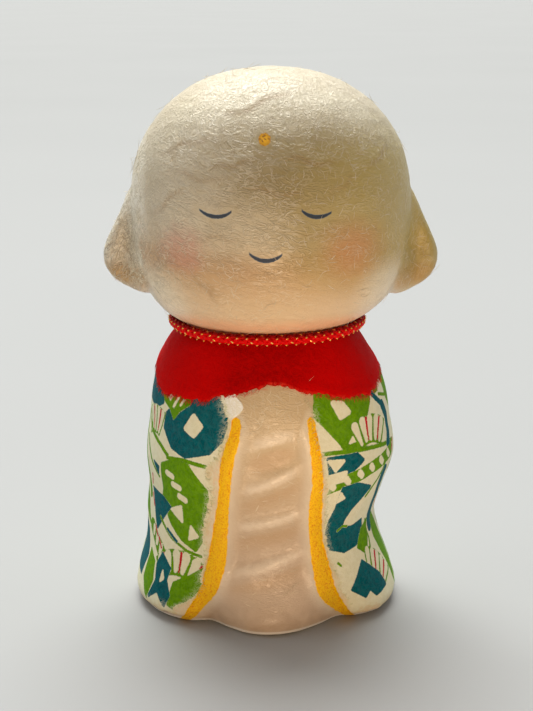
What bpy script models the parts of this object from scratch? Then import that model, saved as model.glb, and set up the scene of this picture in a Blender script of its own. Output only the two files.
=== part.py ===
"""A small Jizo figurine: a papier-mache figure covered with white washi, with a red paper bib,
patterned paper round its robe and a braided cord tied round its neck.

Metres, +Z up. The figure looks along -Y and stands on the plane Z = 0, with +X on the viewer's
right. Angles run round the figure from the front (0) to +X (90 degrees) and the back (180).
"""

import math

import bpy
import numpy as np

# Driving dimensions
FIGURE_HEIGHT = 0.095
CORD_DIAMETER = 0.0020
PAPER_THICKNESS = 0.0003
GLUE_GAP = 0.0003
PAPER_SEAM = 0.0004
ROBE_HEM_HEIGHT = 0.0018

# The figure is drawn on a height of 95 units
UNIT = FIGURE_HEIGHT / 95

# Neck: the groove that the cord lies in, between the shoulders and the chin
NECK_Z = 50.0 * UNIT
NECK_CENTRE_X = -0.5 * UNIT
NECK_HALF_WIDTH = 15.2 * UNIT
NECK_HALF_DEPTH = 14.4 * UNIT
CORD_Z = NECK_Z + CORD_DIAMETER / 2
CHIN_Z = CORD_Z + 0.65 * UNIT

# Head: an egg with full cheeks, wider than it is deep, cut off at the chin by the neck
HEAD_CENTRE_X = 0.15 * UNIT
HEAD_CENTRE_Z = 73.0 * UNIT
HEAD_HALF_WIDTH = 24.1 * UNIT
HEAD_HALF_DEPTH = 23.1 * UNIT
CROWN_RISE = FIGURE_HEIGHT - HEAD_CENTRE_Z
CROWN_POWER = 2.17
CHEEK_POWER = 3.0
CHIN_SHARE = NECK_HALF_WIDTH / HEAD_HALF_WIDTH
CHIN_DROP = (HEAD_CENTRE_Z - CHIN_Z) / (1 - CHIN_SHARE**CHEEK_POWER) ** (1 / CHEEK_POWER)

# Body sections: height, half width on the -X and +X sides, depth to the front and to the back
BODY_SECTIONS = (
    (3.0, 24.2, 22.8, 21.0, 21.4),
    (6.5, 23.5, 21.7, 20.4, 20.8),
    (11.0, 22.3, 20.0, 19.6, 19.8),
    (17.0, 21.9, 18.8, 19.2, 19.2),
    (22.0, 21.6, 20.2, 19.6, 19.4),
    (28.0, 22.1, 22.1, 20.2, 19.8),
    (34.0, 21.3, 21.3, 19.8, 19.6),
    (40.0, 20.6, 20.1, 18.6, 18.8),
    (45.0, 19.3, 17.9, 16.9, 17.1),
    (48.5, 17.3, 15.8, 15.2, 15.4),
)
SECTION_POWER = 2.15
HEM_Z = 3.0 * UNIT
HEM_ROUNDING = 2.2 * UNIT

# Crests of the robe's two lapels, as height and X, proud of the inner garment between them
LAPEL_LEFT = ((0.0, -15.5), (3.0, -13.5), (7.0, -10.9), (11.6, -9.4), (18.0, -8.5), (38.0, -5.6))
LAPEL_RIGHT = ((0.0, 14.8), (3.0, 12.9), (7.0, 10.4), (11.6, 8.9), (18.0, 7.8), (38.0, 6.8))
LAPEL_TOP_Z = 38.0 * UNIT
LAPEL_RISE = 0.45 * UNIT
LAPEL_HALF_WIDTH = 2.0 * UNIT

# Inner garment: a belly over joined hands, then shallow draped folds that climb to the right
PANEL_RECESS = 0.8 * UNIT
BELLY_X = 0.4 * UNIT
BELLY_Z = 35.0 * UNIT
BELLY_HALF_WIDTH = 6.5 * UNIT
BELLY_HALF_HEIGHT = 6.0 * UNIT
BELLY_RISE = 1.0 * UNIT
FOLD_CRESTS = (26.6, 19.8, 12.2)
FOLD_CLIMB = 3.2 * UNIT
FOLD_REACH = 6.2 * UNIT
FOLD_LIP = 1.6 * UNIT
FOLD_RISE = 0.55 * UNIT

# Relief of the hem, as X and distance forward: the panel spreads between two notches
HEM_RELIEF = (
    (-20.0, 0.0),
    (-13.5, -1.4),
    (-10.3, -3.0),
    (-7.0, -1.0),
    (-3.5, 0.9),
    (0.0, 1.3),
    (4.5, 0.3),
    (8.5, -1.9),
    (11.8, -3.9),
    (15.0, -2.2),
    (19.5, 0.0),
)
HEM_RELIEF_TOP_Z = 9.0 * UNIT

# Ear: a smooth closed outline of X and Z on the +X side, a rounded rim, a hollow inside the
# rim and a root that thickens towards the cheek
EAR_OUTLINE = (
    (23.3, 75.0),
    (26.6, 69.6),
    (29.2, 63.6),
    (28.4, 59.6),
    (25.0, 56.9),
    (20.8, 56.0),
    (16.5, 61.0),
    (17.5, 70.0),
)
EAR_RIM_HALF_DEPTH = 2.6 * UNIT
EAR_ROOT_FRONT = 8.5 * UNIT
EAR_ROOT_BACK = 3.0 * UNIT
EAR_ROOT_REACH = (18.5 * UNIT, 26.0 * UNIT)
EAR_HOLLOW = 1.5 * UNIT
EAR_HOLLOW_CENTRE = (25.2 * UNIT, 64.0 * UNIT)
EAR_HOLLOW_SIZE = (1.9 * UNIT, 4.2 * UNIT)
EAR_CENTRE_Y = 0.4 * UNIT

# Lower edge of the bib: two rounded lobes, an arch between them and a narrow band at the nape
BIB_LOBE_Z = 40.2 * UNIT
BIB_ARCH_RISE = 2.9 * UNIT
BIB_ARCH_ANGLE = math.radians(0.5)
BIB_ARCH_SPREAD = math.radians(13.0)
BIB_NAPE_Z = 45.6 * UNIT
BIB_SIDE_ANGLE = math.radians(42.0)
BIB_NAPE_ANGLE = math.radians(135.0)
BIB_TOP_Z = NECK_Z - 0.3 * UNIT

# How far outside the two lapel crests the patterned paper starts
ROBE_MARGIN_LEFT = 2.6 * UNIT
ROBE_MARGIN_RIGHT = 1.3 * UNIT

# Resolution of the solids
FRONT_COLUMNS = 26
OTHER_COLUMNS = 28
BODY_ROWS = 30
HEM_ROWS = 3
CHEEK_ROWS = 7
CROWN_ROWS = 9
EAR_COLUMNS = 22
EAR_ROWS = 7
ROBE_COLUMNS, ROBE_ROWS = 40, 14
ROBE_END_CROWDING = 1.1
ROBE_HEM_CROWDING = 1.5
BIB_COLUMNS, BIB_ROWS = 44, 4
CORD_POINTS = 60

# Surface finish: colour, roughness, metallic
WASHI = ((0.64, 0.52, 0.37), 0.62, 0.0)
RED_PAPER = ((0.55, 0.01, 0.012), 0.55, 0.0)
PATTERNED_PAPER = ((0.13, 0.30, 0.12), 0.6, 0.0)
RED_CORD = ((0.60, 0.015, 0.02), 0.45, 0.0)


def clear_scene():
    for thing in list(bpy.data.objects):
        bpy.data.objects.remove(thing)


def finish(name, look):
    colour, roughness, metallic = look
    material = bpy.data.materials.new(name)
    material.use_nodes = True
    shader = material.node_tree.nodes["Principled BSDF"]
    shader.inputs["Base Color"].default_value = (*colour, 1.0)
    shader.inputs["Roughness"].default_value = roughness
    shader.inputs["Metallic"].default_value = metallic
    return material


def smooth_curve(knots, values, at):
    """Values at `at` on a smooth curve through the knots, flat beyond its two ends."""
    knots, values = np.asarray(knots, float), np.asarray(values, float)
    at = np.clip(at, knots[0], knots[-1])
    slopes = np.gradient(values, knots)
    i = np.clip(np.searchsorted(knots, at, side="right") - 1, 0, len(knots) - 2)
    span = knots[i + 1] - knots[i]
    t = (at - knots[i]) / span
    return (
        (2 * t**3 - 3 * t**2 + 1) * values[i]
        + (t**3 - 2 * t**2 + t) * span * slopes[i]
        + (3 * t**2 - 2 * t**3) * values[i + 1]
        + (t**3 - t**2) * span * slopes[i + 1]
    )


def smooth_step(low, high, value):
    t = np.clip((value - low) / (high - low), 0.0, 1.0)
    return t * t * (3 - 2 * t)


def bell(distance):
    return np.exp(-(distance**2))


def section_point(angle, left, right, front, back, power):
    """X and Y of a rounded section whose four half sizes differ."""
    s, c = np.sin(angle), np.cos(angle)
    x = np.where(s > 0, right, left) * np.sign(s) * np.abs(s) ** (2 / power)
    y = -np.where(c > 0, front, back) * np.sign(c) * np.abs(c) ** (2 / power)
    return x, y


def lapel_x(line, z):
    heights, across = zip(*line)
    return smooth_curve(np.array(heights) * UNIT, np.array(across) * UNIT, z)


def draped_folds(x, z):
    """Forward relief of the folds: each swells downwards to a lip that climbs to the right."""
    relief = np.zeros_like(x)
    for crest in FOLD_CRESTS:
        crest_z = crest * UNIT + FOLD_CLIMB * (x / FOLD_REACH + 0.35 * (x / FOLD_REACH) ** 2) / 2
        above = z - crest_z
        swell = bell(above / (3.2 * UNIT)) * (above >= 0)
        lip = bell(above / FOLD_LIP) * (above < 0)
        relief = relief + FOLD_RISE * (swell + lip) * bell((x - UNIT) / (1.35 * FOLD_REACH))
    return relief


def front_relief(x, z):
    """How far the front of the body stands forward of its plain section, at X and height Z."""
    left, right = lapel_x(LAPEL_LEFT, z), lapel_x(LAPEL_RIGHT, z)
    inside = smooth_step(left + 1 * UNIT, left + 4 * UNIT, x)
    inside = inside * smooth_step(1 * UNIT - right, 4 * UNIT - right, -x)
    below_chest = 1 - smooth_step(LAPEL_TOP_Z - 5 * UNIT, LAPEL_TOP_Z + 3 * UNIT, z)
    above_hem = smooth_step(5 * UNIT, 13 * UNIT, z)
    lapels = bell((x - left) / LAPEL_HALF_WIDTH) + bell((x - right) / LAPEL_HALF_WIDTH)
    belly = bell((x - BELLY_X) / BELLY_HALF_WIDTH) * bell((z - BELLY_Z) / BELLY_HALF_HEIGHT)
    hem_across, hem_forward = np.array(HEM_RELIEF).T * UNIT
    hem = smooth_curve(hem_across, hem_forward, x) * (1 - smooth_step(0.0, HEM_RELIEF_TOP_Z, z))
    return (
        LAPEL_RISE * lapels * below_chest * above_hem
        - PANEL_RECESS * inside * below_chest * above_hem
        + draped_folds(x, z) * inside
        + BELLY_RISE * belly
        + hem
    )


def body_sizes(z):
    """Half width on the two sides and depth to the front and back of the body at height Z."""
    left, right = NECK_HALF_WIDTH - NECK_CENTRE_X, NECK_HALF_WIDTH + NECK_CENTRE_X
    neck = (NECK_Z, left, right, NECK_HALF_DEPTH, NECK_HALF_DEPTH)
    table = np.vstack([np.array(BODY_SECTIONS) * UNIT, neck])
    under = np.clip((HEM_Z - z) / HEM_Z, 0.0, 1.0)
    tuck = HEM_ROUNDING * (1 - np.sqrt(np.clip(1 - under**2, 0.0, 1.0)))
    return [smooth_curve(table[:, 0], table[:, k], z) - tuck for k in range(1, 5)]


def body_point(angle, z):
    """Points of the body's surface, from the floor up to the neck, as an array of X, Y, Z."""
    angle, z = np.broadcast_arrays(np.asarray(angle, float), np.asarray(z, float))
    x, y = section_point(angle, *body_sizes(z), SECTION_POWER)
    facing = smooth_step(0.0, 0.55, np.cos(angle))
    return np.stack([x, y - facing * front_relief(x, z), z], axis=-1)


def body_normal(angle, z):
    """Outward unit normals of the body's surface."""
    turn, rise = 1e-3, 1e-5
    along = body_point(angle + turn, z) - body_point(angle - turn, z)
    up = body_point(angle, z + rise) - body_point(angle, np.maximum(z - rise, 0.0))
    normal = np.cross(along, up)
    return normal / np.linalg.norm(normal, axis=-1, keepdims=True)


def head_ring(angle, tilt):
    """A ring of the head at an elevation angle, where -90 degrees is below and 90 the crown."""
    power, reach = (CROWN_POWER, CROWN_RISE) if tilt > 0 else (CHEEK_POWER, CHIN_DROP)
    share = math.cos(tilt) ** (2 / power)
    z = HEAD_CENTRE_Z + math.copysign(abs(math.sin(tilt)) ** (2 / power), tilt) * reach
    if tilt > 0:
        width, depth = HEAD_HALF_WIDTH * share, HEAD_HALF_DEPTH * share
    else:
        full = (share - CHIN_SHARE) / (1 - CHIN_SHARE)
        width = NECK_HALF_WIDTH + (HEAD_HALF_WIDTH - NECK_HALF_WIDTH) * full
        depth = NECK_HALF_DEPTH + (HEAD_HALF_DEPTH - NECK_HALF_DEPTH) * full
    x, y = section_point(angle, width, width, depth, depth, 2.0)
    above_neck = smooth_step(chin_tilt(), chin_tilt() / 3, tilt)
    shift = NECK_CENTRE_X + (HEAD_CENTRE_X - NECK_CENTRE_X) * above_neck
    return np.stack([x + shift, y, np.full_like(x, z)], axis=-1)


def chin_tilt():
    """The elevation angle at which the underside of the head has shrunk to the neck's width."""
    return -math.acos(CHIN_SHARE ** (CHEEK_POWER / 2))


def column_angles():
    """Angles round the figure, closer together at the front, where the carving is."""
    front = np.linspace(-math.pi / 4, math.pi / 4, FRONT_COLUMNS, endpoint=False)
    rest = np.linspace(math.pi / 4, 2 * math.pi - math.pi / 4, OTHER_COLUMNS, endpoint=False)
    return np.concatenate([front, rest])


def add_mesh(name, points, faces, material):
    mesh = bpy.data.meshes.new(name)
    mesh.from_pydata([tuple(map(float, p)) for p in points], [], faces)
    mesh.materials.append(material)
    mesh.update()
    mesh.shade_smooth()
    mesh.set_sharp_from_angle(angle=math.radians(50))
    made = bpy.data.objects.new(name, mesh)
    bpy.context.scene.collection.objects.link(made)
    return made


def loft(rings, bottom, top):
    """Points and faces of a closed body through equal rings, from a bottom point to a top point."""
    count = len(rings[0])
    points = [bottom, *np.concatenate(rings), top]
    faces = []
    for j in range(count):
        k = (j + 1) % count
        faces.append((0, 1 + k, 1 + j))
        for i in range(len(rings) - 1):
            low, high = 1 + i * count, 1 + (i + 1) * count
            faces.append((low + j, low + k, high + k, high + j))
        last = 1 + (len(rings) - 1) * count
        faces.append((last + j, last + k, len(points) - 1))
    return points, faces


def make_figure(material):
    """Head, neck and body, moulded as one, with the two ears joined on."""
    angles = column_angles()
    hem = HEM_Z * (1 - np.cos(np.linspace(0.0, math.pi / 2, HEM_ROWS + 1)))
    body = np.linspace(HEM_Z, NECK_Z, BODY_ROWS)
    cheeks = np.linspace(chin_tilt(), 0.0, CHEEK_ROWS, endpoint=False)
    crown = np.linspace(0.0, math.pi / 2, CROWN_ROWS, endpoint=False)
    rings = [body_point(angles, np.full_like(angles, z)) for z in (*hem[:-1], *body)]
    rings += [head_ring(angles, tilt) for tilt in (*cheeks, *crown)]
    points, faces = loft(rings, (0, 0, 0), (HEAD_CENTRE_X, 0, FIGURE_HEIGHT))
    figure = add_mesh("figure", points, faces, material)
    for side, name in ((-1, "ear_left_form"), (1, "ear_right_form")):
        join = figure.modifiers.new(name, "BOOLEAN")
        join.operation = "UNION"
        join.object = make_ear(name, side, material)
    return figure


def closed_outline(corners, count):
    """Evenly numbered points on a smooth closed curve through the corners."""
    corners = np.array(corners, float)
    lap = len(corners)
    wrapped = np.concatenate([corners[-2:], corners, corners[:3]])
    at = np.arange(count) * lap / count
    steps = np.arange(-2, lap + 3)
    return np.stack([smooth_curve(steps, wrapped[:, k], at) for k in (0, 1)], axis=-1)


def make_ear(name, side, material):
    """A long ear lobe, hollowed at the front, on the -X side (side -1) or the +X side (1)."""
    outline = closed_outline(EAR_OUTLINE, EAR_COLUMNS) * UNIT
    centre = outline.mean(axis=0)

    def ring(share, front):
        x, z = (centre + (outline - centre) * share).T
        root = (1 - smooth_step(*EAR_ROOT_REACH, x)) * (1 - share**3)
        half_depth = EAR_RIM_HALF_DEPTH * math.sqrt(1 - share**4)
        if front:
            away_x = (x - EAR_HOLLOW_CENTRE[0]) / EAR_HOLLOW_SIZE[0]
            away_z = (z - EAR_HOLLOW_CENTRE[1]) / EAR_HOLLOW_SIZE[1]
            hollow = EAR_HOLLOW * bell(away_x) * bell(away_z) * (1 - share**4)
            y = EAR_CENTRE_Y - half_depth - EAR_ROOT_FRONT * root + hollow
        else:
            y = EAR_CENTRE_Y + half_depth + EAR_ROOT_BACK * root
        return np.stack([HEAD_CENTRE_X + side * x, y, z], axis=-1)

    shares = np.sin(np.linspace(0.0, math.pi / 2, EAR_ROWS + 1))[1:]
    rings = [ring(s, True) for s in shares] + [ring(s, False) for s in shares[-2::-1]]
    front_middle = ring(0.0, True)[0]
    back_middle = ring(0.0, False)[0]
    points, faces = loft(rings, front_middle, back_middle)
    if side < 0:
        faces = [face[::-1] for face in faces]
    ear = add_mesh(name, points, faces, material)
    ear.hide_render = True
    ear.display_type = "WIRE"
    return ear


def paper_sheet(name, angle, z, material):
    """A closed sheet of paper that follows the body over a grid of angles and heights."""
    rows, columns = angle.shape
    surface, normal = body_point(angle, z), body_normal(angle, z)
    inner = (surface + normal * GLUE_GAP).reshape(-1, 3)
    outer = (surface + normal * (GLUE_GAP + PAPER_THICKNESS)).reshape(-1, 3)
    size = rows * columns
    faces = []
    for i in range(rows - 1):
        for j in range(columns - 1):
            a, b = i * columns + j, i * columns + j + 1
            c, d = b + columns, a + columns
            faces.append((size + a, size + b, size + c, size + d))
            faces.append((d, c, b, a))
    bottom = list(range(columns))
    right = [i * columns + columns - 1 for i in range(rows)]
    top = [(rows - 1) * columns + j for j in reversed(range(columns))]
    left = [i * columns for i in reversed(range(rows))]
    for edge in (bottom, right, top, left):
        for a, b in zip(edge, edge[1:]):
            faces.append((a, b, size + b, size + a))
    return add_mesh(name, np.concatenate([inner, outer]), faces, material)


def bib_edge_z(angle):
    """Height of the bib's lower edge at an angle from -180 to 180 degrees."""
    arch = BIB_ARCH_RISE * bell((angle - BIB_ARCH_ANGLE) / BIB_ARCH_SPREAD)
    nape = smooth_step(BIB_SIDE_ANGLE, BIB_NAPE_ANGLE, np.abs(angle))
    return BIB_LOBE_Z + arch + (BIB_NAPE_Z - BIB_LOBE_Z) * nape


def make_bib(material):
    """Red paper round the shoulders, whose two edges butt at the back."""
    seam = PAPER_SEAM / 2 / NECK_HALF_DEPTH
    across = np.linspace(seam - math.pi, math.pi - seam, BIB_COLUMNS)
    up = np.linspace(0.0, 1.0, BIB_ROWS)
    angle, share = np.meshgrid(across, up)
    low = bib_edge_z(angle)
    return paper_sheet("red_bib", angle, low + (BIB_TOP_Z - low) * share, material)


def lapel_angle(line, z, margin):
    """The angle at which the body's surface lies a margin outside a lapel line."""
    across = lapel_x(line, z)
    left, right = body_sizes(z)[:2]
    share = (np.abs(across) + margin) / np.where(across > 0, right, left)
    return np.sign(across) * np.arcsin(np.clip(share, 0.0, 1.0) ** (SECTION_POWER / 2))


def make_robe_paper(material):
    """Patterned paper from the robe's right front edge round the back to its left front edge."""
    spread = np.linspace(-1.0, 1.0, ROBE_COLUMNS)
    spread = 0.5 + 0.5 * np.sin(spread * ROBE_END_CROWDING) / math.sin(ROBE_END_CROWDING)
    share, up = np.meshgrid(spread, np.linspace(0.0, 1.0, ROBE_ROWS) ** ROBE_HEM_CROWDING)
    z = ROBE_HEM_HEIGHT + (BIB_LOBE_Z - ROBE_HEM_HEIGHT) * up
    for _ in range(8):
        first = lapel_angle(LAPEL_RIGHT, z, ROBE_MARGIN_RIGHT)
        last = 2 * math.pi + lapel_angle(LAPEL_LEFT, z, ROBE_MARGIN_LEFT)
        angle = first + (last - first) * share
        signed = np.where(angle > math.pi, angle - 2 * math.pi, angle)
        top = bib_edge_z(signed) - PAPER_SEAM
        z = ROBE_HEM_HEIGHT + (top - ROBE_HEM_HEIGHT) * up
    return paper_sheet("robe_paper", angle, z, material)


def make_cord(material):
    """The braided cord's outer form: a ring that lies in the groove of the neck."""
    radius = CORD_DIAMETER / 2
    width = NECK_HALF_WIDTH + GLUE_GAP + radius
    depth = NECK_HALF_DEPTH + GLUE_GAP + radius
    curve = bpy.data.curves.new("neck_cord", "CURVE")
    curve.dimensions = "3D"
    curve.bevel_depth = radius
    curve.bevel_resolution = 1
    spline = curve.splines.new("POLY")
    spline.points.add(CORD_POINTS - 1)
    for k, point in enumerate(spline.points):
        turn = 2 * math.pi * k / CORD_POINTS
        across = NECK_CENTRE_X + width * math.sin(turn)
        point.co = (across, -depth * math.cos(turn), CORD_Z, 1.0)
    spline.use_cyclic_u = True
    curve.materials.append(material)
    cord = bpy.data.objects.new("neck_cord", curve)
    bpy.context.scene.collection.objects.link(cord)
    return cord


def main():
    clear_scene()
    stand = bpy.data.objects.new("jizo_figurine", None)
    bpy.context.scene.collection.objects.link(stand)
    patterned = finish("patterned_paper", PATTERNED_PAPER)
    pieces = [
        make_figure(finish("white_washi", WASHI)),
        make_bib(finish("red_paper", RED_PAPER)),
        make_robe_paper(patterned),
        make_cord(finish("red_cord", RED_CORD)),
    ]
    for piece in pieces:
        piece.parent = stand


main()
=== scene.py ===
"""Looks of the paper Jizo figurine: washi skin, printed robe paper, red bib, braided cord.

The shapes are worked out in millimetres and scaled to metres when a mesh is made.
"""

import itertools
import math
from functools import reduce

import bpy
import numpy as np
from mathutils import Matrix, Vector
from mathutils.bvhtree import BVHTree

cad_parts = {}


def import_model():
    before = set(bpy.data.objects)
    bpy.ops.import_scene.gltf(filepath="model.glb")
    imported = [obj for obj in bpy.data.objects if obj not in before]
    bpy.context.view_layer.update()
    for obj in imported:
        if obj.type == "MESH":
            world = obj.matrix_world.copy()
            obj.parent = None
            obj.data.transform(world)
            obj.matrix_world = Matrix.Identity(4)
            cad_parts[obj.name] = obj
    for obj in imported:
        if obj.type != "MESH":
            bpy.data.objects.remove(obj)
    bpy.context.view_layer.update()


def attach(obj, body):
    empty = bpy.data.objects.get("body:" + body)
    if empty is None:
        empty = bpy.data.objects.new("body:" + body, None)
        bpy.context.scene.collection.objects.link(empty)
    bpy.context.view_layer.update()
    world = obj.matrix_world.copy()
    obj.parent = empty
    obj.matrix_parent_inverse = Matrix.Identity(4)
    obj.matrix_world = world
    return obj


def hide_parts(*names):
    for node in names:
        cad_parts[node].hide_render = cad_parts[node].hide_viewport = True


MM = 0.001

# Camera: the viewpoint of the photograph
IMAGE_HEIGHT = 711.0
FOCAL_PIXELS = 1500.0
SENSOR_HEIGHT = 36.0
CAMERA_DISTANCE = 259.0
CAMERA_HEIGHT = 109.5
CAMERA_PITCH = math.radians(14.1)
CAMERA_SHIFT_PIXELS = -3.5

# The figure's own sizes, as in the solids
HEIGHT = 95.0
NECK_Z = 50.0
NECK_CENTRE_X = -0.5
NECK_HALF_WIDTH = 15.2
NECK_HALF_DEPTH = 14.4
CORD_RADIUS = 1.0
CORD_Z = NECK_Z + CORD_RADIUS
CHIN_Z = CORD_Z + 0.65
HEAD_CENTRE_X = 0.15
HEAD_CENTRE_Z = 73.0
HEAD_HALF_WIDTH = 24.1
HEAD_HALF_DEPTH = 23.1
CROWN_POWER = 2.17
CHEEK_POWER = 3.0
CHIN_TILT = -math.acos((NECK_HALF_WIDTH / HEAD_HALF_WIDTH) ** (CHEEK_POWER / 2))

# Body: height, reach to the left, right, front and back
BODY_SECTIONS = (
    (3, 24.2, 22.8, 21, 21.4), (6.5, 23.5, 21.7, 20.4, 20.8), (11, 22.3, 20, 19.6, 19.8),
    (17, 21.9, 18.8, 19.2, 19.2), (22, 21.6, 20.2, 19.6, 19.4), (28, 22.1, 22.1, 20.2, 19.8),
    (34, 21.3, 21.3, 19.8, 19.6), (40, 20.6, 20.1, 18.6, 18.8), (45, 19.3, 17.9, 16.9, 17.1),
    (48.5, 17.3, 15.8, 15.2, 15.4),
)
SECTION_POWER = 2.15
HEM_Z = 3.0
HEM_ROUNDING = 2.2

# Lapel crests and gold strips, as height, X of the middle and half width of the gold
GOLD_LEFT = (
    (0, -15.2, 0.7), (2.8, -13.35, 1), (6.9, -10.8, 1.35), (11.6, -9.35, 1.6), (18, -8.5, 1.3),
    (24.4, -7.8, 1), (30.8, -7.2, 1.1), (36.6, -5.75, 0.85), (38.6, -5.6, 0.7),
)
GOLD_RIGHT = (
    (0, 14.4, 0.7), (3.1, 12.1, 1), (6.9, 9.95, 1.5), (11.6, 8.8, 1.45), (16.3, 7.9, 1.15),
    (21.2, 7.7, 1.15), (27.7, 8, 0.95), (33.7, 7.5, 0.85), (38.4, 6.7, 0.6),
)
GOLD_TOP_Z = 38.6
LAPEL_RISE = 0.45
LAPEL_HALF_WIDTH = 2.0
CHEST_FADE = (33.0, 41.0)
HEM_FADE = (5.0, 13.0)

# Inner garment: a belly, then folds as height at X 0, climb, curl, middle X, half width, rise
PANEL_RECESS = 0.85
PANEL_EDGE = (1.0, 3.6)
BELLY = {"x": 0.4, "z": 35.0, "half_width": 6.5, "half_height": 6.0, "rise": 1.0}
FOLDS = (
    (27.1, 0.415, 0.014, 0.4, 4.6, 0.6), (19.9, 0.245, 0.01, 0.2, 6.6, 0.72),
    (12.2, 0.32, 0.008, 0.3, 6.6, 0.6),
)
FOLD_ABOVE = 1.05
FOLD_BELOW = 2.7
FOLD_REACH = 1.25
OVAL = {"x": 0.3, "z": 31.2, "half_width": 4.6, "half_height": 2.3, "depth": 0.45, "climb": 0.25}
OVAL_EDGE = (0.45, 1.3)

# How far the hem stands forward, by X
HEM_RELIEF = (
    (-20, 0), (-13.5, -1.4), (-10.3, -3), (-7, -1), (-3.5, 0.9), (0, 1.3), (4.5, 0.3), (8.5, -1.9),
    (11.8, -3.9), (15, -2.2), (19.5, 0),
)
HEM_RELIEF_TOP_Z = 9.0

EAR_OUTLINE = (
    (23.3, 75), (26.6, 69.6), (29.2, 63.6), (28.4, 59.6), (25, 56.9), (20.8, 56), (16.5, 61),
    (17.5, 70),
)
EAR_RIM_HALF_DEPTH = 2.6
EAR_ROOT_FRONT = 8.5
EAR_ROOT_BACK = 3.0
EAR_ROOT_REACH = (18.5, 26.0)
EAR_HOLLOW = 1.5
EAR_HOLLOW_CENTRE = (25.2, 64.0)
EAR_HOLLOW_SIZE = (1.9, 4.2)
EAR_CENTRE_Y = 0.4

# Lumps, ripples and wrinkles of the hand-laid skin, as height, width and seed of the noise
SKIN_LUMPS = ((0.13, 10, 1), (0.07, 4.6, 2), (0.028, 1.9, 3), (0.014, 0.95, 4))
WRINKLES = ((0.035, 1, 5), (0.025, 0.5, 6))
WRINKLE_SIZE = (4.4, 4.4, 1.3)
WRINKLE_FADE = (NECK_Z, 56.0)

# Longer creases, as two ends and a rise, with the half width and the sway of all
LONG_CREASES = (
    ((-7.5, 88.6), (3.5, 92.4), 0.1), ((-18, 82.4), (-9.5, 85.6), 0.08), ((-10, 80.6), (-3, 82), 0.07),
    ((2.5, 82.6), (10.5, 81.2), 0.08), ((-19.5, 72.2), (-14, 77.6), 0.09),
    ((-16, 79.8), (-7.5, 78.6), 0.07), ((-12.6, 63.2), (-8.3, 58.6), 0.13),
    ((-10.6, 62.2), (-8, 59.6), 0.09), ((9.5, 76.6), (14, 79.4), 0.07), ((-4, 77.8), (5, 76.8), 0.07),
    ((16, 80.2), (19.5, 83.4), 0.08), ((-12.5, 69.4), (-5.5, 70), 0.06),
    ((4.5, 70.2), (12, 71.2), 0.06),
)
CREASE_WIDTH = 0.42
CREASE_SWAY = 0.35
CREASE_SWAYS = 9.0
CREASE_SHADE_DROP = 0.55
CREASE_FULL_SHADE = 0.10

# Distances round the body are measured as an arc of this radius
ARC_RADIUS = 21.0

# Lower edge of the bib, as arc distance and height
BIB_EDGE = (
    (-66, 45.6), (-50, 45.3), (-40, 44.6), (-33, 43.4), (-28.4, 42.8), (-26.4, 41.7), (-21, 40.2),
    (-17.8, 40.6), (-15.4, 40.1), (-13.1, 40.4), (-11.3, 40.4), (-9.4, 41.2), (-7.2, 41.7), (-4.8, 42),
    (-2.6, 42.6), (-1.3, 43.2), (0.1, 43.8), (1.8, 43.8), (3.2, 43.3), (4.9, 42.6), (6.7, 42.2),
    (9.3, 41.7), (11.6, 41.1), (13.8, 40.9), (15.3, 40.6), (18.1, 40.5), (20.9, 40.2), (22.8, 40.9),
    (26.7, 41.7), (30.5, 42.2), (33, 42.9), (40, 44.4), (50, 45.2), (66, 45.6),
)
BIB_TOP_Z = 50.3
BIB_OVERLAP = 0.07
BIB_LIFT = 0.40
BIB_THINNER_ABOVE = 0.14
BIB_THINNER_AT_TEAR = 0.22
BIB_SEAM_RISE = 0.10
BIB_TORN = ((0.22, 0.8, 41), (0.2, 0.4, 42), (0.15, 3, 43))

# Robe paper. The white tip is its bare corner beside the left lapel, as height and reach
ROBE_TOP_UNDER_BIB = 0.9
ROBE_BOTTOM_Z = 1.5
ROBE_FIRST_TOP_Z = 41.0
ROBE_UNDER_GOLD = 0.1
ROBE_LIFT = 0.15
ROBE_ROUNDS = 8
ROBE_RAGGED = ((0.22, 0.8, 31), (0.18, 2.6, 32))
ROBE_HEM = ((0.25, 1.6, 33), (0.2, 6, 34))
WHITE_TIP = (
    (37.9, 0), (39, 1), (40.1, 1.8), (41, 1.3), (42, 0.6),
)

# Where the print ends before the robe's front edges, as height and arc distance
PRINT_LEFT = (
    (2.6, -16.2), (4.6, -13), (6.9, -11), (9.9, -10.6), (12.9, -10.4), (15.2, -10.8), (17.7, -11.3),
    (20.9, -10.4), (24.1, -9.5), (29.9, -9.6), (32.7, -7.8), (34.6, -7.35), (36.2, -7), (38, -6.6),
    (39.5, -7.3), (41.6, -8.1),
)
PRINT_RIGHT = (
    (4.1, 13.5), (6.9, 12.5), (10.9, 11.6), (14.9, 10.8), (17.9, 10.3), (22.1, 9.9), (26.1, 9.1),
    (29.5, 8.6), (32.1, 8.1), (34.7, 7.3), (37.2, 7), (39.1, 7.1), (40.7, 6.3), (42, 6.1),
)
PRINT_BOTTOM_Z = 2.3
PRINT_TORN = ((0.3, 0.9, 21), (0.3, 0.5, 22), (0.3, 2.4, 23))

# Brush strokes of the closed eyes and the mouth: two ends as X and Z, sag, half thickness
BRUSH_STROKES = (
    ((-11.35, 73.72), (-6.1, 73.62), 0.98, 0.33), ((5, 73.85), (9.85, 73.35), 0.9, 0.34),
    ((-3.35, 66.95), (1.95, 66.75), 1.12, 0.35),
)
URNA = (-0.86, 84.8, 0.98)
BLUSH_LEFT = (-14.3, 66.7, 4.1)
BLUSH_RIGHT = (13.4, 66.8, 6.2)

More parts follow.
